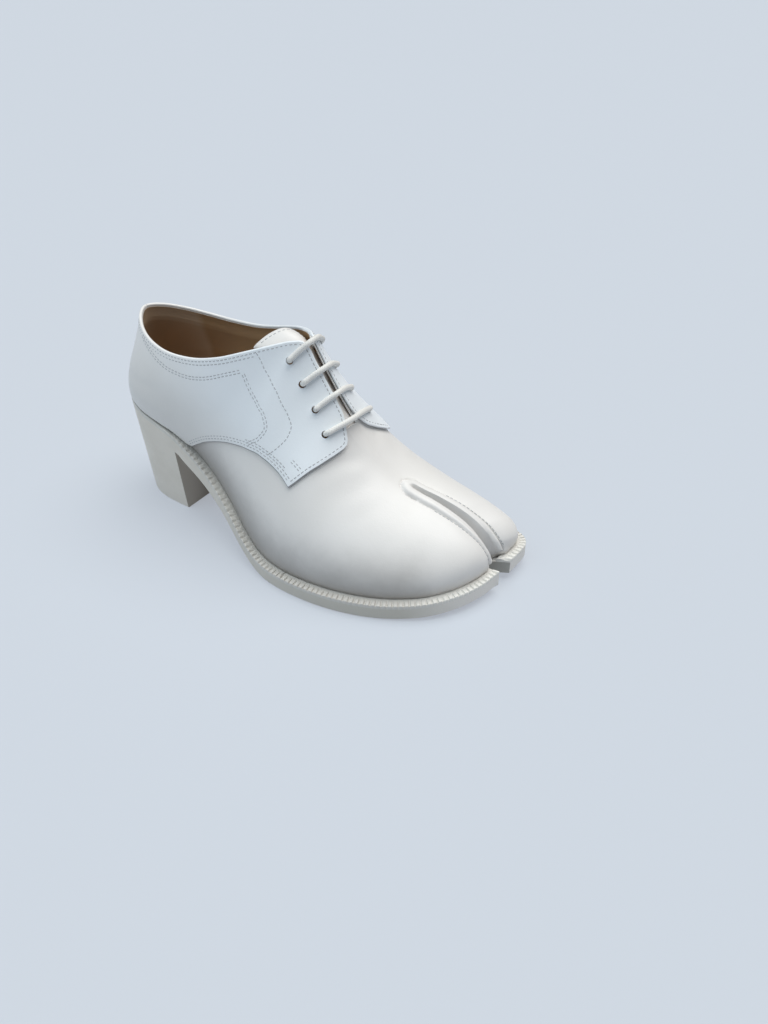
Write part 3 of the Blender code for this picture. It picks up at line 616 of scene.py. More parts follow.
THROAT_THIN = 0.4
THROAT_PARED = (2.0, 7.0)
CLEFT_START = 16.7
CLEFT_STEEP = 1.8
CLEFT_ONSET = 1.6
CLEFT_DEEPENING = 1.7
CLEFT_PARED = (15.5, 17.5)      # sections over which the ridge gets as thin as the lobes
BEAD_WIDTH = (7.2, 6.8)         # at the start of the cleft and at the toe
BEAD_HEIGHT = (2.3, 1.6)
BEAD_CREST = 0.3                # share of its half width from where the cleft falls away
BEAD_GROOVE = 1.0
GROOVE_WIDTH = 0.5
LOBES_FROM = (18.5, 20.0)       # sections over which the wall gets thin towards the cleft
LOBE_INSET = 1.0
LOBE_TIP = 2.0
LOBE_PARTING = 0.7              # share of the slot over which the lobes' inner walls part
LOBE_SINK = 0.3                 # and over which they reach down past the welt
LOBE_THIN = 0.06                # share of the thickness left in the tight turns of the cleft
LOBE_PARED = (2.0, 8.0)
RIDGE_CROWN = 0.6
HEEL_TONE = (-0.11, -0.01)      # frame x in metres over which the heel's tone passes into the hide's
# Grey blended into the white leather low down, by height above the welt: partly dust, partly painted shade on
# the lower sides and under the arch
DUST_AND_SHADE_REACH = 40.0
DUST_AND_SHADE_FULL = 0.08
DUST_AND_SHADE_RAGGED = 0.3
TOE_LESS_GREYED = 0.5
TOE_LESS_GREYED_FROM = (205.0, 240.0)
ARCH_DUST_AND_SHADE = 0.22
ARCH_END = (110.0, 160.0)
CREASES = np.array([
    # from section, height, to section, height, width, depth (ridges are negative)
    (13.7, 0.62, 14.9, 0.97, 2.6, 0.30),
    (14.2, 0.60, 15.3, 0.96, 2.8, -0.18),
    (14.8, 0.58, 15.8, 0.90, 3.2, 0.20),
    (15.6, 0.50, 16.3, 0.80, 3.2, 0.18),
    (8.9, 0.10, 10.6, 0.38, 4.0, 0.25),
    (10.0, 0.05, 11.6, 0.34, 4.5, -0.20),
    (1.6, 0.30, 4.4, 0.55, 5.0, 0.30),
    (2.2, 0.18, 5.2, 0.34, 6.0, -0.25),
    (6.6, 0.45, 8.0, 0.80, 6.0, 0.30),
])
CREASE_FADE = 0.38
WALL_SCALE = np.array([11.0, 80.0])     # about what a section and the wall's whole height measure
TOP = np.vstack([TOP_LINE[:0:-1, [0, 2, 3]], TOP_LINE[:, [0, 1, 3]]])
X_AXIS, Y_AXIS, Z_AXIS = np.eye(3)


def wall(section, height):
    """Outer surface of the upper: a cubic curve from the feather line, which it leaves upwards
    and a little outwards, to the top line, which it reaches from outside and below."""
    section, height = np.broadcast_arrays(np.asarray(section, float), np.asarray(height, float))
    foot, inward = sole_edge(section, welt_show(section))
    foot = at_height(foot, feather(foot[..., 0]) + WELT_GAP)
    outward = at_height(-inward, np.zeros(section.shape))
    top = hermite(ROUND_THE_SHOE, TOP, section)
    full = hermite(FULLNESS[:, 0], FULLNESS[:, 1:], np.abs(section))
    foot_out, top_back = full[..., 0:1], full[..., 1:2]
    shape = np.where(section[..., None] > 0, full[..., 2:5], full[..., 5:8])
    foot_up, top_out, top_down = np.moveaxis(shape[..., None], -2, 0)
    low = foot + outward * foot_out + Z_AXIS * foot_up
    high = top + outward * top_out - X_AXIS * top_back - Z_AXIS * top_down
    t = height[..., None]
    return (1 - t)**3 * foot + 3 * t * (1 - t)**2 * low + 3 * t**2 * (1 - t) * high + t**3 * top


def wall_normal(section, height):
    """Unit normal of the wall: the way along its sections crossed with the way up it."""
    small = 0.004
    ahead = wall(np.minimum(section + small, TOE), height) - wall(np.maximum(section - small, -TOE), height)
    upward = wall(section, np.minimum(height + small, 1)) - wall(section, np.maximum(height - small, 0))
    normal = np.cross(ahead, upward)
    return normal / np.linalg.norm(normal, axis=-1, keepdims=True)


def wall_speed(section, height, step=0.02):
    """Millimetres of wall to a whole of its height, measured over a short step down from a height,
    or up from it where the step is negative."""
    way = wall(section, height) - wall(section, height - step)
    return np.linalg.norm(way, axis=-1) / abs(step)


def creases(section, height):
    """Soft troughs and ridges: for each a bell across its line that fades out at both ends. The
    line is straight in section and height, both scaled to millimetres."""
    place = WALL_SCALE * np.stack(np.broadcast_arrays(np.abs(section), height), axis=-1)
    depth = np.zeros(place.shape[:-1])
    for *line, width, deep in CREASES:
        start, end = WALL_SCALE * np.reshape(line, (2, 2))
        way = end - start
        share = (place - start) @ way / (way @ way)
        aside = (place - start) @ np.array([-way[1], way[0]]) / np.linalg.norm(way)
        depth += deep * np.exp(-(aside / width)**2) * np.exp(-((share - 0.5) / CREASE_FADE)**4)
    return -depth


def lip_run(section):
    """Distance along the middle of the cleft from its start, and half the cleft's width."""
    fine = np.linspace(THROAT - 2, TOE, 600)
    left, right = hermite(ROUND_THE_SHOE, TOP, fine), hermite(ROUND_THE_SHOE, TOP, -fine)
    middle = (left + right) / 2
    run = run_along(middle)
    half = np.linalg.norm(left - right, axis=-1) / 2
    section = np.abs(section)
    from_start = np.interp(section, fine, run) - np.interp(CLEFT_START, fine, run)
    return from_start, np.interp(section, fine, half)


def cleft_distance(section, aside):
    """Distance from the cleft's outline, negative inside it: a slot with a round start."""
    run, half = lip_run(section)
    return np.hypot(np.minimum(run - half, 0), aside) - half


def bead_size(section):
    """Half width and height of the bead, which gets slimmer towards the toe."""
    slim = ease(np.abs(section), CLEFT_START, TOE - 1)
    width, height = (start + (end - start) * slim for start, end in (BEAD_WIDTH, BEAD_HEIGHT))
    return width / 2, height


def bead(section, distance):
    """Height of the bead across its outline: half an ellipse, with the groove of its seam."""
    half, height = bead_size(section)
    tube = height * np.sqrt(np.clip(1 - (distance / half)**2, 0, 1))
    return tube - BEAD_GROOVE * np.exp(-((distance - half) / GROOVE_WIDTH)**2)


def cleft_fall(section, aside, width, depth):
    """Drop from a lip into the cleft: down the bead's round, then steeply, then ever less so."""
    half, _ = bead_size(section)
    level = BEAD_CREST * half
    inside = np.clip((aside - level) / (width - level), 0, 1)**CLEFT_ONSET
    return depth * (1 - (1 - inside)**CLEFT_STEEP) + bead(section, 0.0) - bead(section, -aside)


def run_from_top(grid):
    """Distance of every point from the last of its row, along the row."""
    steps = np.linalg.norm(np.diff(grid, axis=1), axis=-1)
    return np.concatenate([np.cumsum(steps[:, ::-1], axis=1)[:, ::-1], np.zeros((len(grid), 1))], axis=1)


def make_upper():
    """The wall, the ridge between its two sides with the cleft sunk into it, and the inner
    walls of the two lobes."""
    half = np.concatenate([np.linspace(0, THROAT, 120), np.linspace(THROAT, TOE, 150)[1:]])
    half = np.unique(np.append(half, SLOT_ROOT))
    section = np.concatenate([-half[:0:-1], half])[:, None]
    rows = np.concatenate([np.linspace(0, FINE_FROM, 24), np.linspace(FINE_FROM, 1, 26)[1:]])[None, :]
    collar = 1 - ease(np.abs(section), *COLLAR_END)
    rows = rows * (1 - COLLAR_DROP * collar / wall_speed(section, 1.0))
    plain = wall(section, rows)
    down = run_from_top(plain)
    distance = cleft_distance(section, lip_run(section)[1] + down)
    raised = bead(section, distance) * (np.abs(section) > THROAT) + creases(section, rows)
    side = plain + raised[..., None] * wall_normal(section, rows)
    throat = (1 - collar) * (1 - ease(np.abs(section), *THROAT_END))
    lobe = ease(np.abs(section), *LOBES_FROM)
    thin = 1 - (1 - COLLAR_THIN) * collar * (1 - ease(down, *COLLAR_PARED))
    thin = thin - (1 - LOBE_THIN) * lobe * (1 - ease(down, *LOBE_PARED))
    thin = thin - (1 - THROAT_THIN) * throat * (1 - ease(down, *THROAT_PARED))
    coordinates = np.stack(np.broadcast_arrays(section, rows), axis=-1)
    patches, thickness = [(side, coordinates, 0)], [thin.ravel()]

    ridge = half[(half >= THROAT) & (half <= SLOT_ROOT)][:, None]
    middle = rows.shape[1] - 1
    across = np.linspace(0, 1, 2 * middle + 1)[None, :]
    lateral, medial = (side[np.searchsorted(section[:, 0], sign * ridge[:, 0]), -1] for sign in (1, -1))
    strip = between(lateral, medial, 2 * middle + 1)
    _, width = lip_run(ridge)
    distance = cleft_distance(ridge, np.abs(2 * across - 1) * width)
    deep = np.clip((ridge - CLEFT_START) / (SLOT_ROOT - CLEFT_START), 0, 1)
    root = feather(SLOT_ROOT_X) + WELT_GAP + BEAD_HEIGHT[1]
    depth = (1 - (1 - deep)**CLEFT_DEEPENING) * (strip[..., 2].mean(axis=1, keepdims=True) - root)
    inside = bead(ridge, 0.0) - cleft_fall(ridge, -distance, width, depth)
    raised = np.where(distance > 0, bead(ridge, distance), inside)
    strip[..., 2] += raised - bead(ridge, cleft_distance(ridge, width))
    strip[..., 2] += RIDGE_CROWN * (1 - ease(ridge, THROAT, CLEFT_START)) * (1 - (2 * across - 1)**2)
    patches.append((strip, np.stack(np.broadcast_arrays(ridge, 1 + across), axis=-1), 0))
    thick = THROAT_THIN + (1 - THROAT_THIN) * ease(ridge, *THROAT_END)
    thick = thick - (1 - LOBE_THIN) * ease(ridge, *CLEFT_PARED)
    thickness.append((thick + 0 * across).ravel())

    lobes = half[half >= SLOT_ROOT]
    bottom = strip[-1, middle]
    share = np.linspace(0, 1, len(lobes))
    parting = ease(share, 0, LOBE_PARTING)[:, None]
    drift = np.linspace(0, 1, middle + 1)[None, :, None]
    for which, sign in ((0, 1), (1, -1)):
        lip = side[np.searchsorted(section[:, 0], sign * lobes), -1]
        foot = slot_side(which, share, np.zeros(len(share)))
        foot[:, 1] -= sign * LOBE_INSET
        foot[:, 0] = lip[:, 0] - LOBE_TIP * share
        foot[:, 2] = feather(foot[:, 0]) + WELT_GAP - WELT_THICK * ease(share, 0, LOBE_SINK)
        foot = bottom + parting * (foot - bottom) + (1 - parting) * (foot[:, :1] - bottom[0]) * X_AXIS
        lip, foot = lip[:, None], foot[:, None]
        width = lip_run(lobes)[1][:, None]
        whole = (lip - foot)[..., 2]
        fall = cleft_fall(lobes[:, None], drift[..., 0] * width, width, whole - bead(lobes, 0.0)[:, None])
        fall = fall / fall[:, -1:]
        inner = np.concatenate([lip[..., :2] + drift * (foot - lip)[..., :2],
                                lip[..., 2:] + (fall * -whole)[..., None]], axis=-1)
        start = strip[-1, ::sign][:middle + 1]
        inner += (1 - parting)[:, None] * (start - inner[0])
        coordinates = np.stack(np.broadcast_arrays(lobes[:, None], 1 + drift[..., 0]), axis=-1)
        patches.append((inner, coordinates, 0))
        thickness.append(np.full(inner[..., 0].size, LOBE_THIN))
        column = side[np.searchsorted(section[:, 0], sign * TOE), ::-1]
        patches.append(np.stack([column, inner[-1]]))
        thickness.append(np.full(2 * len(column), LOBE_THIN))
    return patches, np.concatenate(thickness)


def white_leather(name, colour, shade, heel, dust_and_shade, reach, roughness):
    """Smooth finished calf: a satin coat over fine pores and faint wrinkles, with a slow drift of
    tone from the hide, and warmer towards the heel. Low down it is greyed, partly by dust and
    partly as painted shade on the lower sides, which face away from the light."""
    finish = Finish(name, Specular_IOR_Level=0.5, Coat_Weight=0.12, Coat_Roughness=0.28)
    hide = finish.ramp(finish.noise(18.0, 3.0, 0.5), (0.3, shade), (0.65, colour))
    hide = finish.blend(finish.along("X", *HEEL_TONE), heel, hide)
    above_welt = finish.add("Attribute", {"attribute_name": "above_welt"}).outputs["Fac"]
    ragged = finish.math("MULTIPLY_ADD", finish.noise(60.0, 4.0, 0.6), DUST_AND_SHADE_RAGGED, above_welt)
    ungreyed = finish.rise(ragged, DUST_AND_SHADE_FULL, reach)
    pores = finish.add("TexVoronoi", Vector=finish.place(), Scale=1300.0).outputs["Distance"]
    wrinkles = finish.noise(420.0, 5.0, 0.6)
    fine = finish.bump(pores, 0.12, 0.0002)
    finish.paint(Base_Color=finish.blend(ungreyed, dust_and_shade, hide),
                 Roughness=finish.ramp(wrinkles, (0.2, roughness - 0.06), (0.8, roughness + 0.08)),
                 Normal=finish.bump(wrinkles, 0.18, 0.0003, Normal=fine))
    return finish.material


def mark_height(piece):
    """Keeps the height of every point above the feather line, for the grey of dust and painted
    shade low on the leather; the arch counts as lower, so that it is greyed higher up, and the
    toes as higher, so that they are greyed less."""
    points = np.zeros(3 * len(piece.data.vertices), np.float32)
    piece.data.vertices.foreach_get("co", points)
    points = points.reshape(-1, 3) / MM - TO_FRAME
    layer = piece.data.attributes.new("above_welt", "FLOAT", "POINT")
    height = (points[:, 2] - feather(points[:, 0])) / DUST_AND_SHADE_REACH
    height += TOE_LESS_GREYED * ease(points[:, 0], *TOE_LESS_GREYED_FROM)
    height -= ARCH_DUST_AND_SHADE * (1 - ease(points[:, 0], *ARCH_END))
    layer.data.foreach_set("value", height.astype(np.float32))


def thin_by_attribute(piece, label, steps=25):
    """A vertex group from a point attribute, in even steps, for the Solidify modifier."""
    values = np.zeros(len(piece.data.vertices), np.float32)
    piece.data.attributes[label].data.foreach_get("value", values)
    group = piece.vertex_groups.new(name=label)
    levels = np.round(values * steps).astype(int)
    for level in np.unique(levels):
        group.add(np.flatnonzero(levels == level).tolist(), level / steps, "REPLACE")
    return group.name


# The vamp's grey low down is partly dust and partly painted shade
vamp_leather = white_leather("vamp_leather", (0.825, 0.805, 0.785), (0.805, 0.785, 0.76), (0.78, 0.755, 0.73),
                             (0.39, 0.37, 0.35), 0.95, 0.42)
upper_patches, upper_thin = make_upper()
upper = make_piece("lasted_upper", upper_patches, [vamp_leather, tan_lining], sharp=60,
                   attributes={"thin": upper_thin})
shell = upper.modifiers.new("thickness", "SOLIDIFY")
shell.thickness = UPPER_THICK * MM
shell.offset = -1
shell.use_even_offset = False
shell.material_offset = 1
shell.vertex_group = thin_by_attribute(upper, "thin")
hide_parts("upper")


# Quarters: two sheets of white calf closed at the back of the heel. Each is folded over the
# collar, sewn down on the vamp along an arched edge, and punched with four eyelets at its facing.

QUARTER = 1.1
QUARTER_GAP = 0.35
QUARTER_BACK = 0.012            # section of the closing seam
QUARTER_NOSE = 0.13             # square root of the last way back from the facing's end
FRONT_LIFT = 0.9
FRONT_LIFTED = (12.0, 14.2)     # sections over which the facing's front comes off the vamp
EDGE_BEVEL = 0.6                # the cut edge slants out by this much
COLLAR_INNER = 0.60             # the folded edge lies this far inside the wall
COLLAR_FOLD = 0.45
COLLAR_TAIL = 0.5
FOLD_END = (9.2, 10.1)          # sections over which the folded edge runs out
QUARTER_EDGE = np.array([
    # section, height
    (0.0, 0.03), (4.6, 0.03), (5.3, 0.035), (5.6, 0.07), (5.94, 0.16), (6.36, 0.252), (6.88, 0.322),
    (7.46, 0.372), (8.1, 0.402), (8.72, 0.418), (9.98, 0.442), (10.68, 0.473), (11.3, 0.496),
    (11.9, 0.508), (12.3, 0.508), (12.8, 0.498),
])
QUARTER_TIP = 12.8
FACING_FRONT = {
    # end of the facing; then square root of the way back from there, lower edge, upper edge
    "lateral": (14.18, np.array([
        (0.0, 0.905, 0.905), (0.14, 0.882, 0.925), (0.42, 0.800, 0.957), (0.65, 0.715, 0.976),
        (0.85, 0.640, 0.992), (1.0, 0.575, 1.0), (1.1747, 0.498, 1.0)])),
    "medial": (14.75, np.array([
        (0.0, 0.72, 0.72), (0.2, 0.672, 0.775), (0.5, 0.620, 0.868), (0.7, 0.585, 0.932),
        (1.0, 0.545, 0.980), (1.24, 0.515, 0.998), (1.3964, 0.498, 1.0)])),
}
EYELET_RADIUS = 2.0
PUNCH_LENGTH = 12.0
EYELETS = {
    # section and height of each, from the collar down
    "lateral": np.array([(9.98, 0.868), (11.12, 0.868), (12.20, 0.863), (13.18, 0.838)]),
    "medial": np.array([(10.35, 0.868), (11.55, 0.866), (12.70, 0.860), (13.85, 0.835)]),
}
SIGN = {"lateral": 1, "medial": -1}


def quarter_reach(side, section):
    """Lower and upper edge of a quarter at a section, as heights on the wall."""
    end, front = FACING_FRONT[side]
    front = hermite(front[:, 0], front[:, 1:], np.sqrt(np.clip(end - section, 0, None)))
    low = hermite(QUARTER_EDGE[:, 0], QUARTER_EDGE[:, 1], section)
    low = np.where(section < QUARTER_TIP, low, front[..., 0])
    return low, np.where(section < QUARTER_TIP, 1.0, np.minimum(front[..., 1], 1.0))


def quarter_lift(section):
    """Gap under the quarter, wider under the facing's front, which stands off the vamp."""
    return QUARTER_GAP + FRONT_LIFT * ease(section, *FRONT_LIFTED)


def on_quarter(side, section, height, above=0.0):
    """Points on a quarter's outside, or above it, and the directions out of it."""
    section, height = np.broadcast_arrays(np.asarray(section, float), np.asarray(height, float))
    normal = wall_normal(SIGN[side] * section, height)
    lift = quarter_lift(section) + QUARTER + above + creases(section, height)
    return wall(SIGN[side] * section, height) + lift[..., None] * normal, normal


def make_quarter(side):
    """Closed profile of the folded sheet carried along the shoe: round lower edge, outside,
    roll over the collar, turned-in edge, and back along the inside."""
    end, front = FACING_FRONT[side]
    section = np.concatenate([np.linspace(QUARTER_BACK, QUARTER_TIP, 230),
                              end - np.linspace(front[-1, 0], QUARTER_NOSE, 60)[1:]**2])[:, None]
    low, high = quarter_reach(side, section)
    place = SIGN[side] * section
    speed, low_speed = wall_speed(place, high), wall_speed(place, low, -0.02)
    gap = quarter_lift(section)
    rolled = 1 - ease(section, *FOLD_END)
    round_low = QUARTER / 2
    outside, inside = gap + QUARTER, COLLAR_INNER * rolled - gap * (1 - rolled)
    roll = (outside + inside) / 2
    middle = (outside - inside) / 2
    tail = COLLAR_TAIL * rolled
    turn = np.linspace(-np.pi / 2, np.pi / 2, 9)[None, :]
    sheet = np.linspace(0, 1, 84)[None, 1:-1]
    start, end = low + round_low / low_speed, high - roll / speed
    bevel = EDGE_BEVEL * (1 - np.sin(turn)) / 2
    heights = [low + (round_low * (1 - np.cos(turn)) - bevel) / low_speed, start + sheet * (end - start),
               high - roll * (1 - np.cos(turn)) / speed]
    lifts = [gap + round_low * (1 + np.sin(turn)), outside + 0 * sheet, middle - roll * np.sin(turn)]
    way = np.linspace(0, 1, 4)[None, 1:]
    heights.append(end - way * tail / speed)
    lifts.append(-inside + 0 * way)
    inner_roll = roll - COLLAR_FOLD
    inner_turn = turn[:, ::2]
    heights.append(rolled * (high - (roll - inner_roll * np.cos(inner_turn)) / speed) + (1 - rolled) * end)
    lifts.append(rolled * (middle + inner_roll * np.sin(inner_turn)) + (1 - rolled) * gap)
    back = np.linspace(1, 0, 16)[None, 1:-1]
    heights.append(start + back * (end - start))
    lifts.append(gap + 0 * back)
    heights = np.concatenate([np.broadcast_to(h, (len(section), h.shape[1])) for h in heights], axis=1)
    lifts = np.concatenate([np.broadcast_to(l, (len(section), l.shape[1])) for l in lifts], axis=1)
    lifts = lifts + creases(place, heights)
    ring = wall(place, heights) + lifts[..., None] * wall_normal(place, heights)
    ring = np.concatenate([ring, ring[:, :1]], axis=1)
    edge = turn.shape[1] - 1
    return [(ring[:, :edge], None, 1), ring[:, edge - 1:]], [ring[0, :-1], ring[-1, :-1]]


def punch_eyelets(pieces):
    """Round holes through the facings and what lies under them, cut and applied."""
    pins = bmesh.new()
    for side, holes in EYELETS.items():
        for place, normal in zip(*on_quarter(side, *holes.T)):
            turn = Vector(normal).to_track_quat("Z", "Y").to_matrix().to_4x4()
            bmesh.ops.create_cone(pins, cap_ends=True, segments=24, radius1=EYELET_RADIUS * MM,
                                  radius2=EYELET_RADIUS * MM, depth=PUNCH_LENGTH * MM,
                                  matrix=Matrix.Translation((place + TO_FRAME) * MM) @ turn)
    mesh = bpy.data.meshes.new("punch")
    pins.to_mesh(mesh)
    pins.free()
    punch = bpy.data.objects.new("punch", mesh)
    bpy.context.scene.collection.objects.link(punch)
    for piece in pieces:
        cut = piece.modifiers.new("eyelets", "BOOLEAN")
        cut.operation = "DIFFERENCE"
        cut.solver = "EXACT"
        cut.object = punch
        graph = bpy.context.evaluated_depsgraph_get()
        cut_mesh = bpy.data.meshes.new_from_object(piece.evaluated_get(graph), depsgraph=graph)
        piece.modifiers.clear()
        piece.data = cut_mesh
    bpy.data.objects.remove(punch)


# Quarter calf: its bluer, brighter tone towards the facing is a painted cool sky reflection, its lighter,
# warmer tone at the heel is painted light, and its grey low down is partly dust and partly painted shade
quarter_calf = white_leather("quarter_calf", (0.89, 0.93, 0.965), (0.87, 0.91, 0.945), (0.94, 0.925, 0.905),
                             (0.70, 0.69, 0.67), 1.7, 0.34)
# The quarters' rounded lower edge: the grey of the raw cut edge, darkened further as painted shadow of the
# gap under it
cut_edge_and_shadow = Finish("cut_edge_and_painted_shadow", Roughness=0.8, Specular_IOR_Level=0.2)
fibres = cut_edge_and_shadow.noise(1800.0, 3.0, 0.6)
cut_edge_and_shadow.paint(Base_Color=cut_edge_and_shadow.ramp(fibres, (0.3, 0.26), (0.7, 0.40)))
quarters = []
for side in ("lateral", "medial"):
    sheets, ends = make_quarter(side)
    quarter = make_piece("sewn_quarter_" + side, sheets, [quarter_calf, cut_edge_and_shadow.material],
                         caps=ends, sharp=60)
    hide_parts("quarter_" + side)
    quarters.append(quarter)
punch_eyelets([upper, *quarters])
for piece in (upper, *quarters):
    mark_height(piece)


# Tongue: a tab of the vamp's calf under the facings, arched over the instep, with a round end
# that stands out above the collar and a row of stitches inside its edge.

TONGUE = np.array([
    # x, z, half width, slope of its sides
    (168.0, 62.4, 9.5, 0.40),
    (162.5, 70.6, 9.5, 0.45),
    (156.5, 79.8, 9.0, 0.55),
    (150.0, 90.2, 8.0, 0.80),
    (142.8, 100.4, 7.0, 0.95),
    (135.9, 110.6, 6.6, 1.05),
    (130.5, 117.8, 7.0, 1.15),
    (124.5, 123.0, 8.0, 1.15),
    (117.5, 125.6, 10.6, 1.00),
    (109.0, 126.6, 13.0, 0.95),
    (98.0, 126.0, 14.2, 0.95),
])
TONGUE_THICK = 1.8
TONGUE_ROUND = 6.0
TONGUE_SKEW = 17.0              # how much longer its lateral corner is
TONGUE_END_ROUND = 6.0
TONGUE_INSIDE = 0.999           # share of the half width where the mesh ends
TONGUE_CROWDING = 1.5           # above 1 the rows lie closer towards the loose end
RIM_SQUARE = 14                 # power by which the two skins close late towards the sides
RIM_LENGTH = 0.012              # share of the length over which they close at the end


def tongue_surface(along, across):
    """The tongue's outside: shares along its middle line and across its width. The end is
    rounded and leans aside; the sides fall away on a hyperbola."""
    along, across = np.broadcast_arrays(along, across)
    run = run_along(TONGUE[:, :2])
    reach = run[-1] - TONGUE_END_ROUND * (1 - np.sqrt(1 - np.abs(across)**3))
    reach = reach - TONGUE_SKEW * (1 - ((1 - across) / 2)**3)
    at = along * reach
    x, z, half, slope = np.moveaxis(hermite(run, TONGUE, at), -1, 0)
    step = 0.2
    ahead = hermite(run, TONGUE, at + step)[..., :2] - hermite(run, TONGUE, at - step)[..., :2]
    ahead /= np.linalg.norm(ahead, axis=-1, keepdims=True)
    y = across * half
    drop = slope * (np.hypot(y, TONGUE_ROUND) - TONGUE_ROUND)
    return np.stack([x - drop * ahead[..., 1], y, z + drop * ahead[..., 0]], axis=-1)


def surface_normals(points):
    """Unit normals of a grid of points: its row direction crossed with its column direction."""
    normal = np.cross(np.gradient(points, axis=0), np.gradient(points, axis=1))
    return normal / np.linalg.norm(normal, axis=-1, keepdims=True).clip(1e-9)


def make_tongue():
    """Two skins a thickness apart, drawn together in a half round at the rim."""
    along = 1 - np.linspace(1, 0, 90)[:, None]**TONGUE_CROWDING
    across = np.sin(np.linspace(-np.pi / 2, np.pi / 2, 49))[None, :]
    middle = tongue_surface(along, across * TONGUE_INSIDE)
    inward = surface_normals(middle)
    inward *= np.sign(-inward[along.size // 2, across.size // 2, 2])
    closing = np.clip((1 - along) / RIM_LENGTH, 0, 1)
    rim = np.sqrt(np.clip(1 - np.abs(across)**RIM_SQUARE, 0, 1)) * np.sqrt(closing)
    skins = [middle + (side * rim + 1)[..., None] * TONGUE_THICK / 2 * inward for side in (-1, 1)]
    return [*skins, np.stack([skin[0] for skin in skins])]


tongue = make_piece("tongue_tab", make_tongue(), [vamp_leather], sharp=60)
mark_height(tongue)
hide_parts("tongue")


# Lace: a round cord of waxed cotton in four bars, each through a pair of eyelets, drawn up a
# little towards the collar, and on under the facing to the next. Its ends stay hidden behind the
# first and the last eyelet.

LACE_RADIUS = 1.5
LACE_CLEAR = 0.1
LACE_UNDER = 0.2
EYELET_SIDE = 0.005             # the taut lace lies at the upper side of its eyelets
LACE_BOW = (3.4, 2.4, 2.4, 1.4)     # how far each bar is drawn up towards the collar
LACE_REACH = (0.02, 0.99)       # shares of the way from an eyelet to the shoe's middle
STEM_MIDDLE = 0.4               # share of the depth under the facing
LACE_POINTS = 480
CORD_SIDE = X_AXIS + 0.3 * Z_AXIS   # a direction that the lace never runs in
BRAID = 6.0                     # waves round the cord


def lace_route():
    """Eyelet to eyelet: up through the hole, taut over the facings to the other side, and down.
    Taut is the upper hull of the line over the facings: the highest chord at every point. A bar
    is drawn up along the shoe by a parabola."""
    under = -(LACE_UNDER + LACE_RADIUS + UPPER_THICK + QUARTER_GAP + QUARTER)
    stem = np.array([under, STEM_MIDDLE * under, 0.0])
    lip = LACE_CLEAR + LACE_RADIUS
    way = np.linspace(*LACE_REACH, 9)
    route = []
    for bar, bow in enumerate(LACE_BOW):
        order = ("lateral", "medial") if bar % 2 == 0 else ("medial", "lateral")
        over, stems = [], []
        for side, far_side in zip(order, order[::-1]):
            section, height = EYELETS[side][bar]
            stems.append(on_quarter(side, section, height + EYELET_SIDE, stem)[0])
            towards = section + way / 2 * (EYELETS[far_side][bar, 0] - section)
            over.append(on_quarter(side, towards, height + way * (1 - height), lip))
        line = np.concatenate([over[0][0], over[1][0][::-1]])
        out = (over[0][1][-1] + over[1][1][-1]) * (1 - Y_AXIS)
        out /= np.linalg.norm(out)
        ahead = np.cross(Y_AXIS, out)
        across, level, along = line[:, 1], line @ out, line @ ahead
        first, at, last = across[:, None, None], across[None, :, None], across[None, None, :]
        reach = np.where(last == first, 1.0, last - first)
        chord = level[:, None, None] + (level[None, None, :] - level[:, None, None]) * (at - first) / reach
        spans = (at - first) * (last - at) >= 0
        taut = np.where(spans, chord, -np.inf).max(axis=(0, 2))
        share = (across - across[0]) / (across[-1] - across[0])
        bowed = along[0] + (along[-1] - along[0]) * share - bow * (1 - (2 * share - 1)**2)
        line = line + (taut - level)[:, None] * out + (bowed - along)[:, None] * ahead
        route += [*stems[0], *line[::2], *stems[1][::-1]]
    route = np.array(route)
    run = run_along(route)
    return hermite(run, route, np.linspace(0, run[-1], LACE_POINTS))


def make_cord(path, radius, sides=16):
    """A round profile carried along a path: at each point a circle in the plane across it, whose
    first axis is also square to a fixed direction."""
    along = np.gradient(path, axis=0)
    along /= np.linalg.norm(along, axis=-1, keepdims=True)
    side = np.cross(along, CORD_SIDE)
    side /= np.linalg.norm(side, axis=-1, keepdims=True)
    other = np.cross(along, side)
    turn = np.linspace(0, 2 * np.pi, sides + 1)[None, :, None]
    ring = path[:, None] + radius * (np.cos(turn) * side[:, None] + np.sin(turn) * other[:, None])
    run = run_along(path)
    uv = np.stack(np.broadcast_arrays(run[:, None], turn[..., 0] / (2 * np.pi)), axis=-1)
    return [(ring, uv, 0)], [ring[0, :-1], ring[-1, :-1]]


def waxed_cotton(name, colour, valley):
    """Braided cotton under wax: two sets of diagonal waves round the cord, crossed."""
    finish = Finish(name, Roughness=0.55, Specular_IOR_Level=0.35)
    surface = finish.add("UVMap", {"uv_map": "surface"}).outputs["UV"]
    strands = []
    for turn in (BRAID, -BRAID):
        lean = finish.add("Mapping", Vector=surface, Scale=(1.0, turn, 1.0)).outputs["Vector"]
        wave = finish.add("TexWave", {"bands_direction": "DIAGONAL"}, Vector=lean, Scale=0.45)
        strands.append(wave.outputs["Fac"])
    height = finish.math("MAXIMUM", *strands)
    finish.paint(Base_Color=finish.ramp(height, (0.2, valley), (0.7, colour)),
                 Normal=finish.bump(height, 0.22, 0.0002))
    return finish.material


cotton = waxed_cotton("waxed_cotton", (0.81, 0.80, 0.77), (0.72, 0.705, 0.67))
cords, ends = make_cord(lace_route(), LACE_RADIUS)
lace = make_piece("waxed_lace", cords, [cotton], caps=ends, sharp=70)
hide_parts("lace")


# Stitching: lockstitch in grey thread through the leather, every stitch sunk between two pinholes.
# The thread's grey is partly its own and partly painted shade.
# One row follows collar and facing; straps, lower edge and tack are sewn in rows side by side.

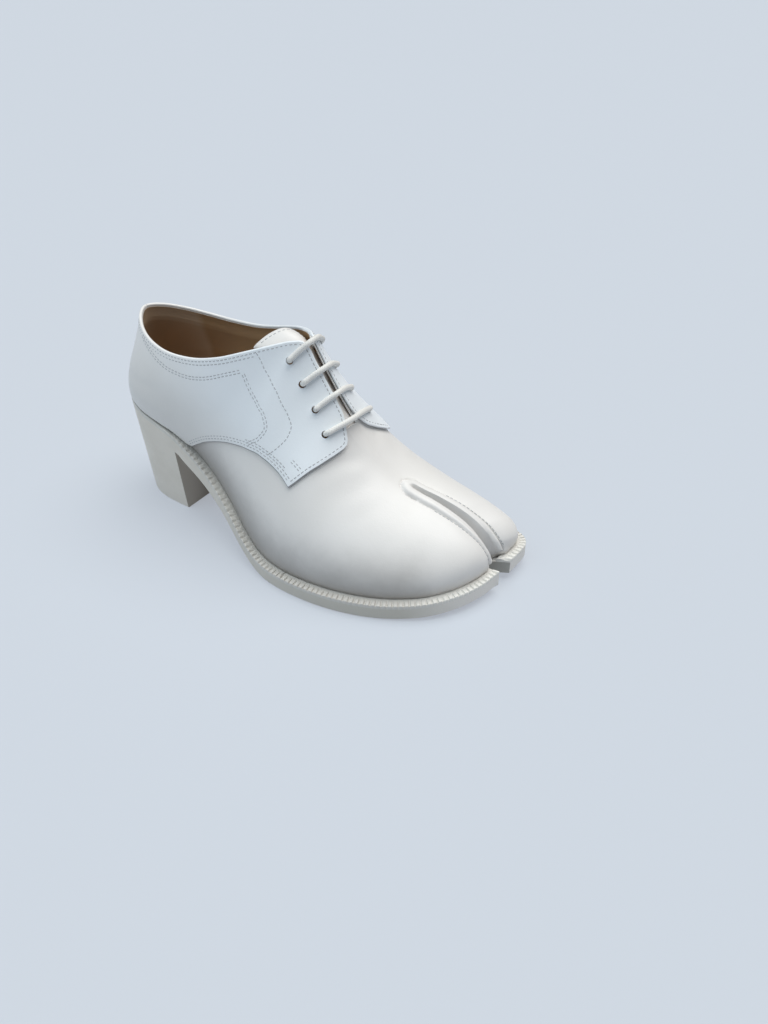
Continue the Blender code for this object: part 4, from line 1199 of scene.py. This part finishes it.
STITCH_PITCH = 2.45
STITCH_LENGTH = 1.2
STITCH_WIDTH = 0.55
STITCH_RISE = 0.2
PINHOLE = 0.2
PINHOLE_RISE = 0.05
ROW_APART = 1.5
EDGE_MARGIN = 1.8
COLLAR_ROW = (1.6, 7.5)         # sections that the collar's second row spans
COLLAR_ROW_MARGIN = 3.6
FACING_ROW_BACK = 1.2           # section where the row of collar and facing starts
FACING_ROW_NOSE = 0.06          # square root of its last way back from the facing's end
LOWER_ROWS = (5.55, 12.58)      # sections that the rows of the lower edge span
LOWER_THIRD = slice(80, 150)    # of their 160 points, those that have a third row
CLEFT_ROW = (18.0, 21.6)        # sections
BEAD_MARGIN = 0.7
TONGUE_ROW = (-0.54, 1.0)       # from the lateral corner over the end to the medial side
TONGUE_ROW_END = 0.962          # share of the tongue's length
TONGUE_ROW_DOWN = 0.30          # how far down the medial side it goes
TONGUE_ROW_SPREAD = 1.6
TONGUE_ROW_ASIDE = 0.83         # share of the half width
TONGUE_ROW_FLARE = 0.02
STRAP = np.array([
    # section, height: from the back of the heel to the strap's corner
    (2.2, 0.93), (3.36, 0.848), (4.34, 0.79), (4.98, 0.777), (5.6, 0.787), (6.46, 0.82), (7.36, 0.835)])
STRAP_DOWN = np.array([
    # section, height: from the strap's corner down to the lower edge
    (7.42, 0.823), (7.86, 0.740), (8.46, 0.667), (9.28, 0.613), (10.08, 0.593), (10.42, 0.573),
    (10.24, 0.522), (9.30, 0.449)])
FACING_STAY = np.array([
    # section, height: from the collar down to the lower edge
    (7.66, 0.972), (8.0, 0.905), (8.56, 0.812), (9.2, 0.757), (9.88, 0.728), (10.66, 0.720), (11.36, 0.720),
    (11.72, 0.705), (11.78, 0.665), (11.56, 0.590), (11.12, 0.512)])
TACK = np.array([
    # section, height
    (12.40, 0.598), (12.73, 0.600), (13.02, 0.601)])


def stitch_row(points, normals, aside=0.0):
    """Stitches at an even pitch along a line on the leather, moved aside in the surface. Each is
    a round thread, half sunk and tapered to its ends, between two small dark lenses."""
    along = np.gradient(points, axis=0)
    along /= np.linalg.norm(along, axis=-1, keepdims=True)
    points = points + aside * np.cross(normals, along)
    run = run_along(points)
    count = max(int(run[-1] / STITCH_PITCH), 1)
    at = (np.arange(count) + 0.5) * run[-1] / count
    middle, along, normal = (np.stack([np.interp(at, run, c) for c in line.T], axis=-1)
                             for line in (points, along, normals))
    side = np.cross(normal, along)
    middle, along, normal, side = (v[:, None, None, :] for v in (middle, along, normal, side))
    way = np.linspace(-0.5, 0.5, 6)[:, None]
    turn = np.linspace(0, 2 * np.pi, 9)[None, :]
    taper = np.sqrt(1 - np.abs(2 * way)**4)
    thread = (middle + (STITCH_LENGTH * way + 0 * turn)[..., None] * along
              + (STITCH_WIDTH / 2 * taper * np.cos(turn))[..., None] * side
              + (STITCH_RISE * taper * np.sin(turn))[..., None] * normal)
    radius = PINHOLE * np.array([[0.0], [1.0], [0.0]])
    rise = PINHOLE_RISE * np.array([[1.0], [0.0], [-1.0]]) + 0 * turn
    holes = [middle + (end * STITCH_LENGTH / 2 + radius * np.cos(turn))[..., None] * along
             + (radius * np.sin(turn))[..., None] * side + rise[..., None] * normal for end in (-1, 1)]
    uv = np.stack(np.broadcast_arrays(way + 0.5, turn / (2 * np.pi)), axis=-1)
    return [(thread, uv, 0), *((hole, np.zeros((*rise.shape, 2)), 1) for hole in holes)]


def smooth_line(table, count=160):
    """A smooth curve through a table's rows, evenly along the wall."""
    run = run_along(table * WALL_SCALE)
    return hermite(run, table, np.linspace(0, run[-1], count)).T


def quarter_rows(side):
    """All rows of one quarter, each a line on it moved aside by margins. A medial row runs the
    other way, so what lies aside is mirrored."""
    patches = []

    def sew(line, *asides):
        """One row for each distance aside."""
        points, normals = on_quarter(side, *line)
        for aside in asides:
            patches.extend(stitch_row(points, normals, SIGN[side] * aside))

    end, front = FACING_FRONT[side]
    ahead = end - np.linspace(front[-1, 0], FACING_ROW_NOSE, 60)[1:]**2
    facing = np.concatenate([np.linspace(FACING_ROW_BACK, QUARTER_TIP, 200), ahead])
    top_edge = np.stack([facing, quarter_reach(side, facing)[1]])
    front_edge = np.stack([ahead[::-1], quarter_reach(side, ahead[::-1])[0]])
    sew(np.concatenate([top_edge, front_edge[:, :-2]], axis=1), -EDGE_MARGIN)
    collar = np.linspace(*COLLAR_ROW, 120)
    sew(np.stack([collar, np.ones(len(collar))]), -COLLAR_ROW_MARGIN)
    sew(smooth_line(STRAP), 0.0, ROW_APART)
    sew(smooth_line(STRAP_DOWN), 0.0, ROW_APART)
    sew(smooth_line(FACING_STAY), 0.0)
    sew(smooth_line(TACK, 20), 0.0, ROW_APART)
    lower = np.linspace(*LOWER_ROWS, 160)
    low = np.stack([lower, quarter_reach(side, lower)[0]])
    sew(low, EDGE_MARGIN, EDGE_MARGIN + ROW_APART)
    sew(low[:, LOWER_THIRD], EDGE_MARGIN + 2 * ROW_APART)
    return patches


def cleft_rows():
    """A row beside each bead, a margin outside its half width, from the middle of the cleft to
    the toe."""
    patches = []
    for sign in (1, -1):
        section = sign * np.linspace(*CLEFT_ROW, 90)
        half, _ = bead_size(section)
        height = 1 - (half + BEAD_MARGIN) / wall_speed(section, 1.0)
        patches += stitch_row(wall(section, height), wall_normal(section, height))
    return patches


def tongue_row():
    """One row inside the edge of the tongue's loose end: across it, then down the medial side
    by an eased share of the tongue's length."""
    turn = np.linspace(*TONGUE_ROW, 130)
    across = np.clip(TONGUE_ROW_SPREAD * turn, -TONGUE_ROW_ASIDE, TONGUE_ROW_ASIDE)
    across = across + TONGUE_ROW_FLARE * np.tanh(3 * turn)
    along = TONGUE_ROW_END - TONGUE_ROW_DOWN * ease(np.abs(turn), 0.5, 1.0) * np.abs(turn)
    step = 0.004
    points = tongue_surface(along, across)
    sideways = tongue_surface(along, across + step) - points
    onwards = tongue_surface(along + step, across) - points
    normals = np.cross(sideways, onwards)
    normals /= np.linalg.norm(normals, axis=-1, keepdims=True)
    normals *= np.sign(normals[np.abs(turn).argmin(), 2])
    return stitch_row(points, normals)


# The thread's grey is partly its own colour and partly painted shade of the sunk stitches
thread = Finish("grey_thread_and_shade", Roughness=0.6, Specular_IOR_Level=0.3)
twist = thread.noise(2600.0, 2.0, 0.5)
thread.paint(Base_Color=thread.ramp(twist, (0.3, (0.44, 0.45, 0.47)), (0.7, (0.58, 0.59, 0.61))))
pinhole = Finish("pinhole_shadow", Roughness=0.9, Specular_IOR_Level=0.1)
shade = pinhole.noise(3000.0, 1.0, 0.5)
pinhole.paint(Base_Color=pinhole.ramp(shade, (0.3, 0.15), (0.7, (0.22, 0.215, 0.21))))
stitching = {"lateral_stitches": quarter_rows("lateral"), "medial_stitches": quarter_rows("medial"),
             "cleft_stitches": cleft_rows(), "tongue_stitches": tongue_row()}
for name, rows in stitching.items():
    make_piece(name, rows, [thread.material, pinhole.material])


# Studio: a plain pale paper floor that runs out of sight and glows faintly, one very wide soft
# light overhead, a fainter cool one from the outer side, and the camera at the photograph's
# height and angle.

FLOOR_REACH = 8.0
SKY_STRENGTH = 0.09
LENS = 27.87                    # millimetres, on a sensor of 36
CAMERA_PLACE = (0.24392, -0.29703, 0.2944)
AZIMUTH, ELEVATION = np.radians((32.54, 36.43))

floor_mesh = bpy.data.meshes.new("floor")
corners = [(-1, -1, 0), (1, -1, 0), (1, 1, 0), (-1, 1, 0)]
floor_mesh.from_pydata((FLOOR_REACH * np.array(corners)).tolist(), [], [(0, 1, 2, 3)])
floor_paper = Finish("floor_paper", Roughness=0.9, Specular_IOR_Level=0.1, Emission_Strength=0.345)
floor_paper.paint(Base_Color=(0.268, 0.297, 0.328, 1.0), Emission_Color=(0.95, 1.0, 1.10, 1.0))
floor_mesh.materials.append(floor_paper.material)
floor = bpy.data.objects.new("floor", floor_mesh)
bpy.context.scene.collection.objects.link(floor)

sky = bpy.data.worlds.new("studio")
sky.use_nodes = True
sky.node_tree.nodes["Background"].inputs["Color"].default_value = (0.86, 0.93, 1.0, 1.0)
sky.node_tree.nodes["Background"].inputs["Strength"].default_value = SKY_STRENGTH
bpy.context.scene.world = sky


def soft_light(name, place, spread, strength, colour):
    """Light from a wide disc of sky in the direction of a place, as even as an overcast window."""
    lamp = bpy.data.lights.new(name, "SUN")
    lamp.angle = np.radians(spread)
    lamp.energy = strength
    lamp.color = colour
    light = bpy.data.objects.new(name, lamp)
    light.location = place
    light.rotation_euler = (-Vector(place)).to_track_quat("-Z", "Y").to_euler()
    bpy.context.scene.collection.objects.link(light)


soft_light("overhead", (0.16, 0.30, 1.18), 55.0, 2.62, (1.0, 0.985, 0.955))
soft_light("window", (-0.35, -0.75, 1.15), 60.0, 1.25, (0.75, 0.87, 0.95))

lens = bpy.data.cameras.new("camera")
lens.sensor_width = 36.0
lens.lens = LENS
lens.clip_start = 0.01
camera = bpy.data.objects.new("camera", lens)
camera.location = CAMERA_PLACE
level = np.cos(ELEVATION)
looking = Vector((-np.sin(AZIMUTH) * level, np.cos(AZIMUTH) * level, -np.sin(ELEVATION)))
camera.rotation_euler = looking.to_track_quat("-Z", "Y").to_euler()
bpy.context.scene.collection.objects.link(camera)
bpy.context.scene.camera = camera
bpy.context.scene.view_settings.view_transform = "Standard"
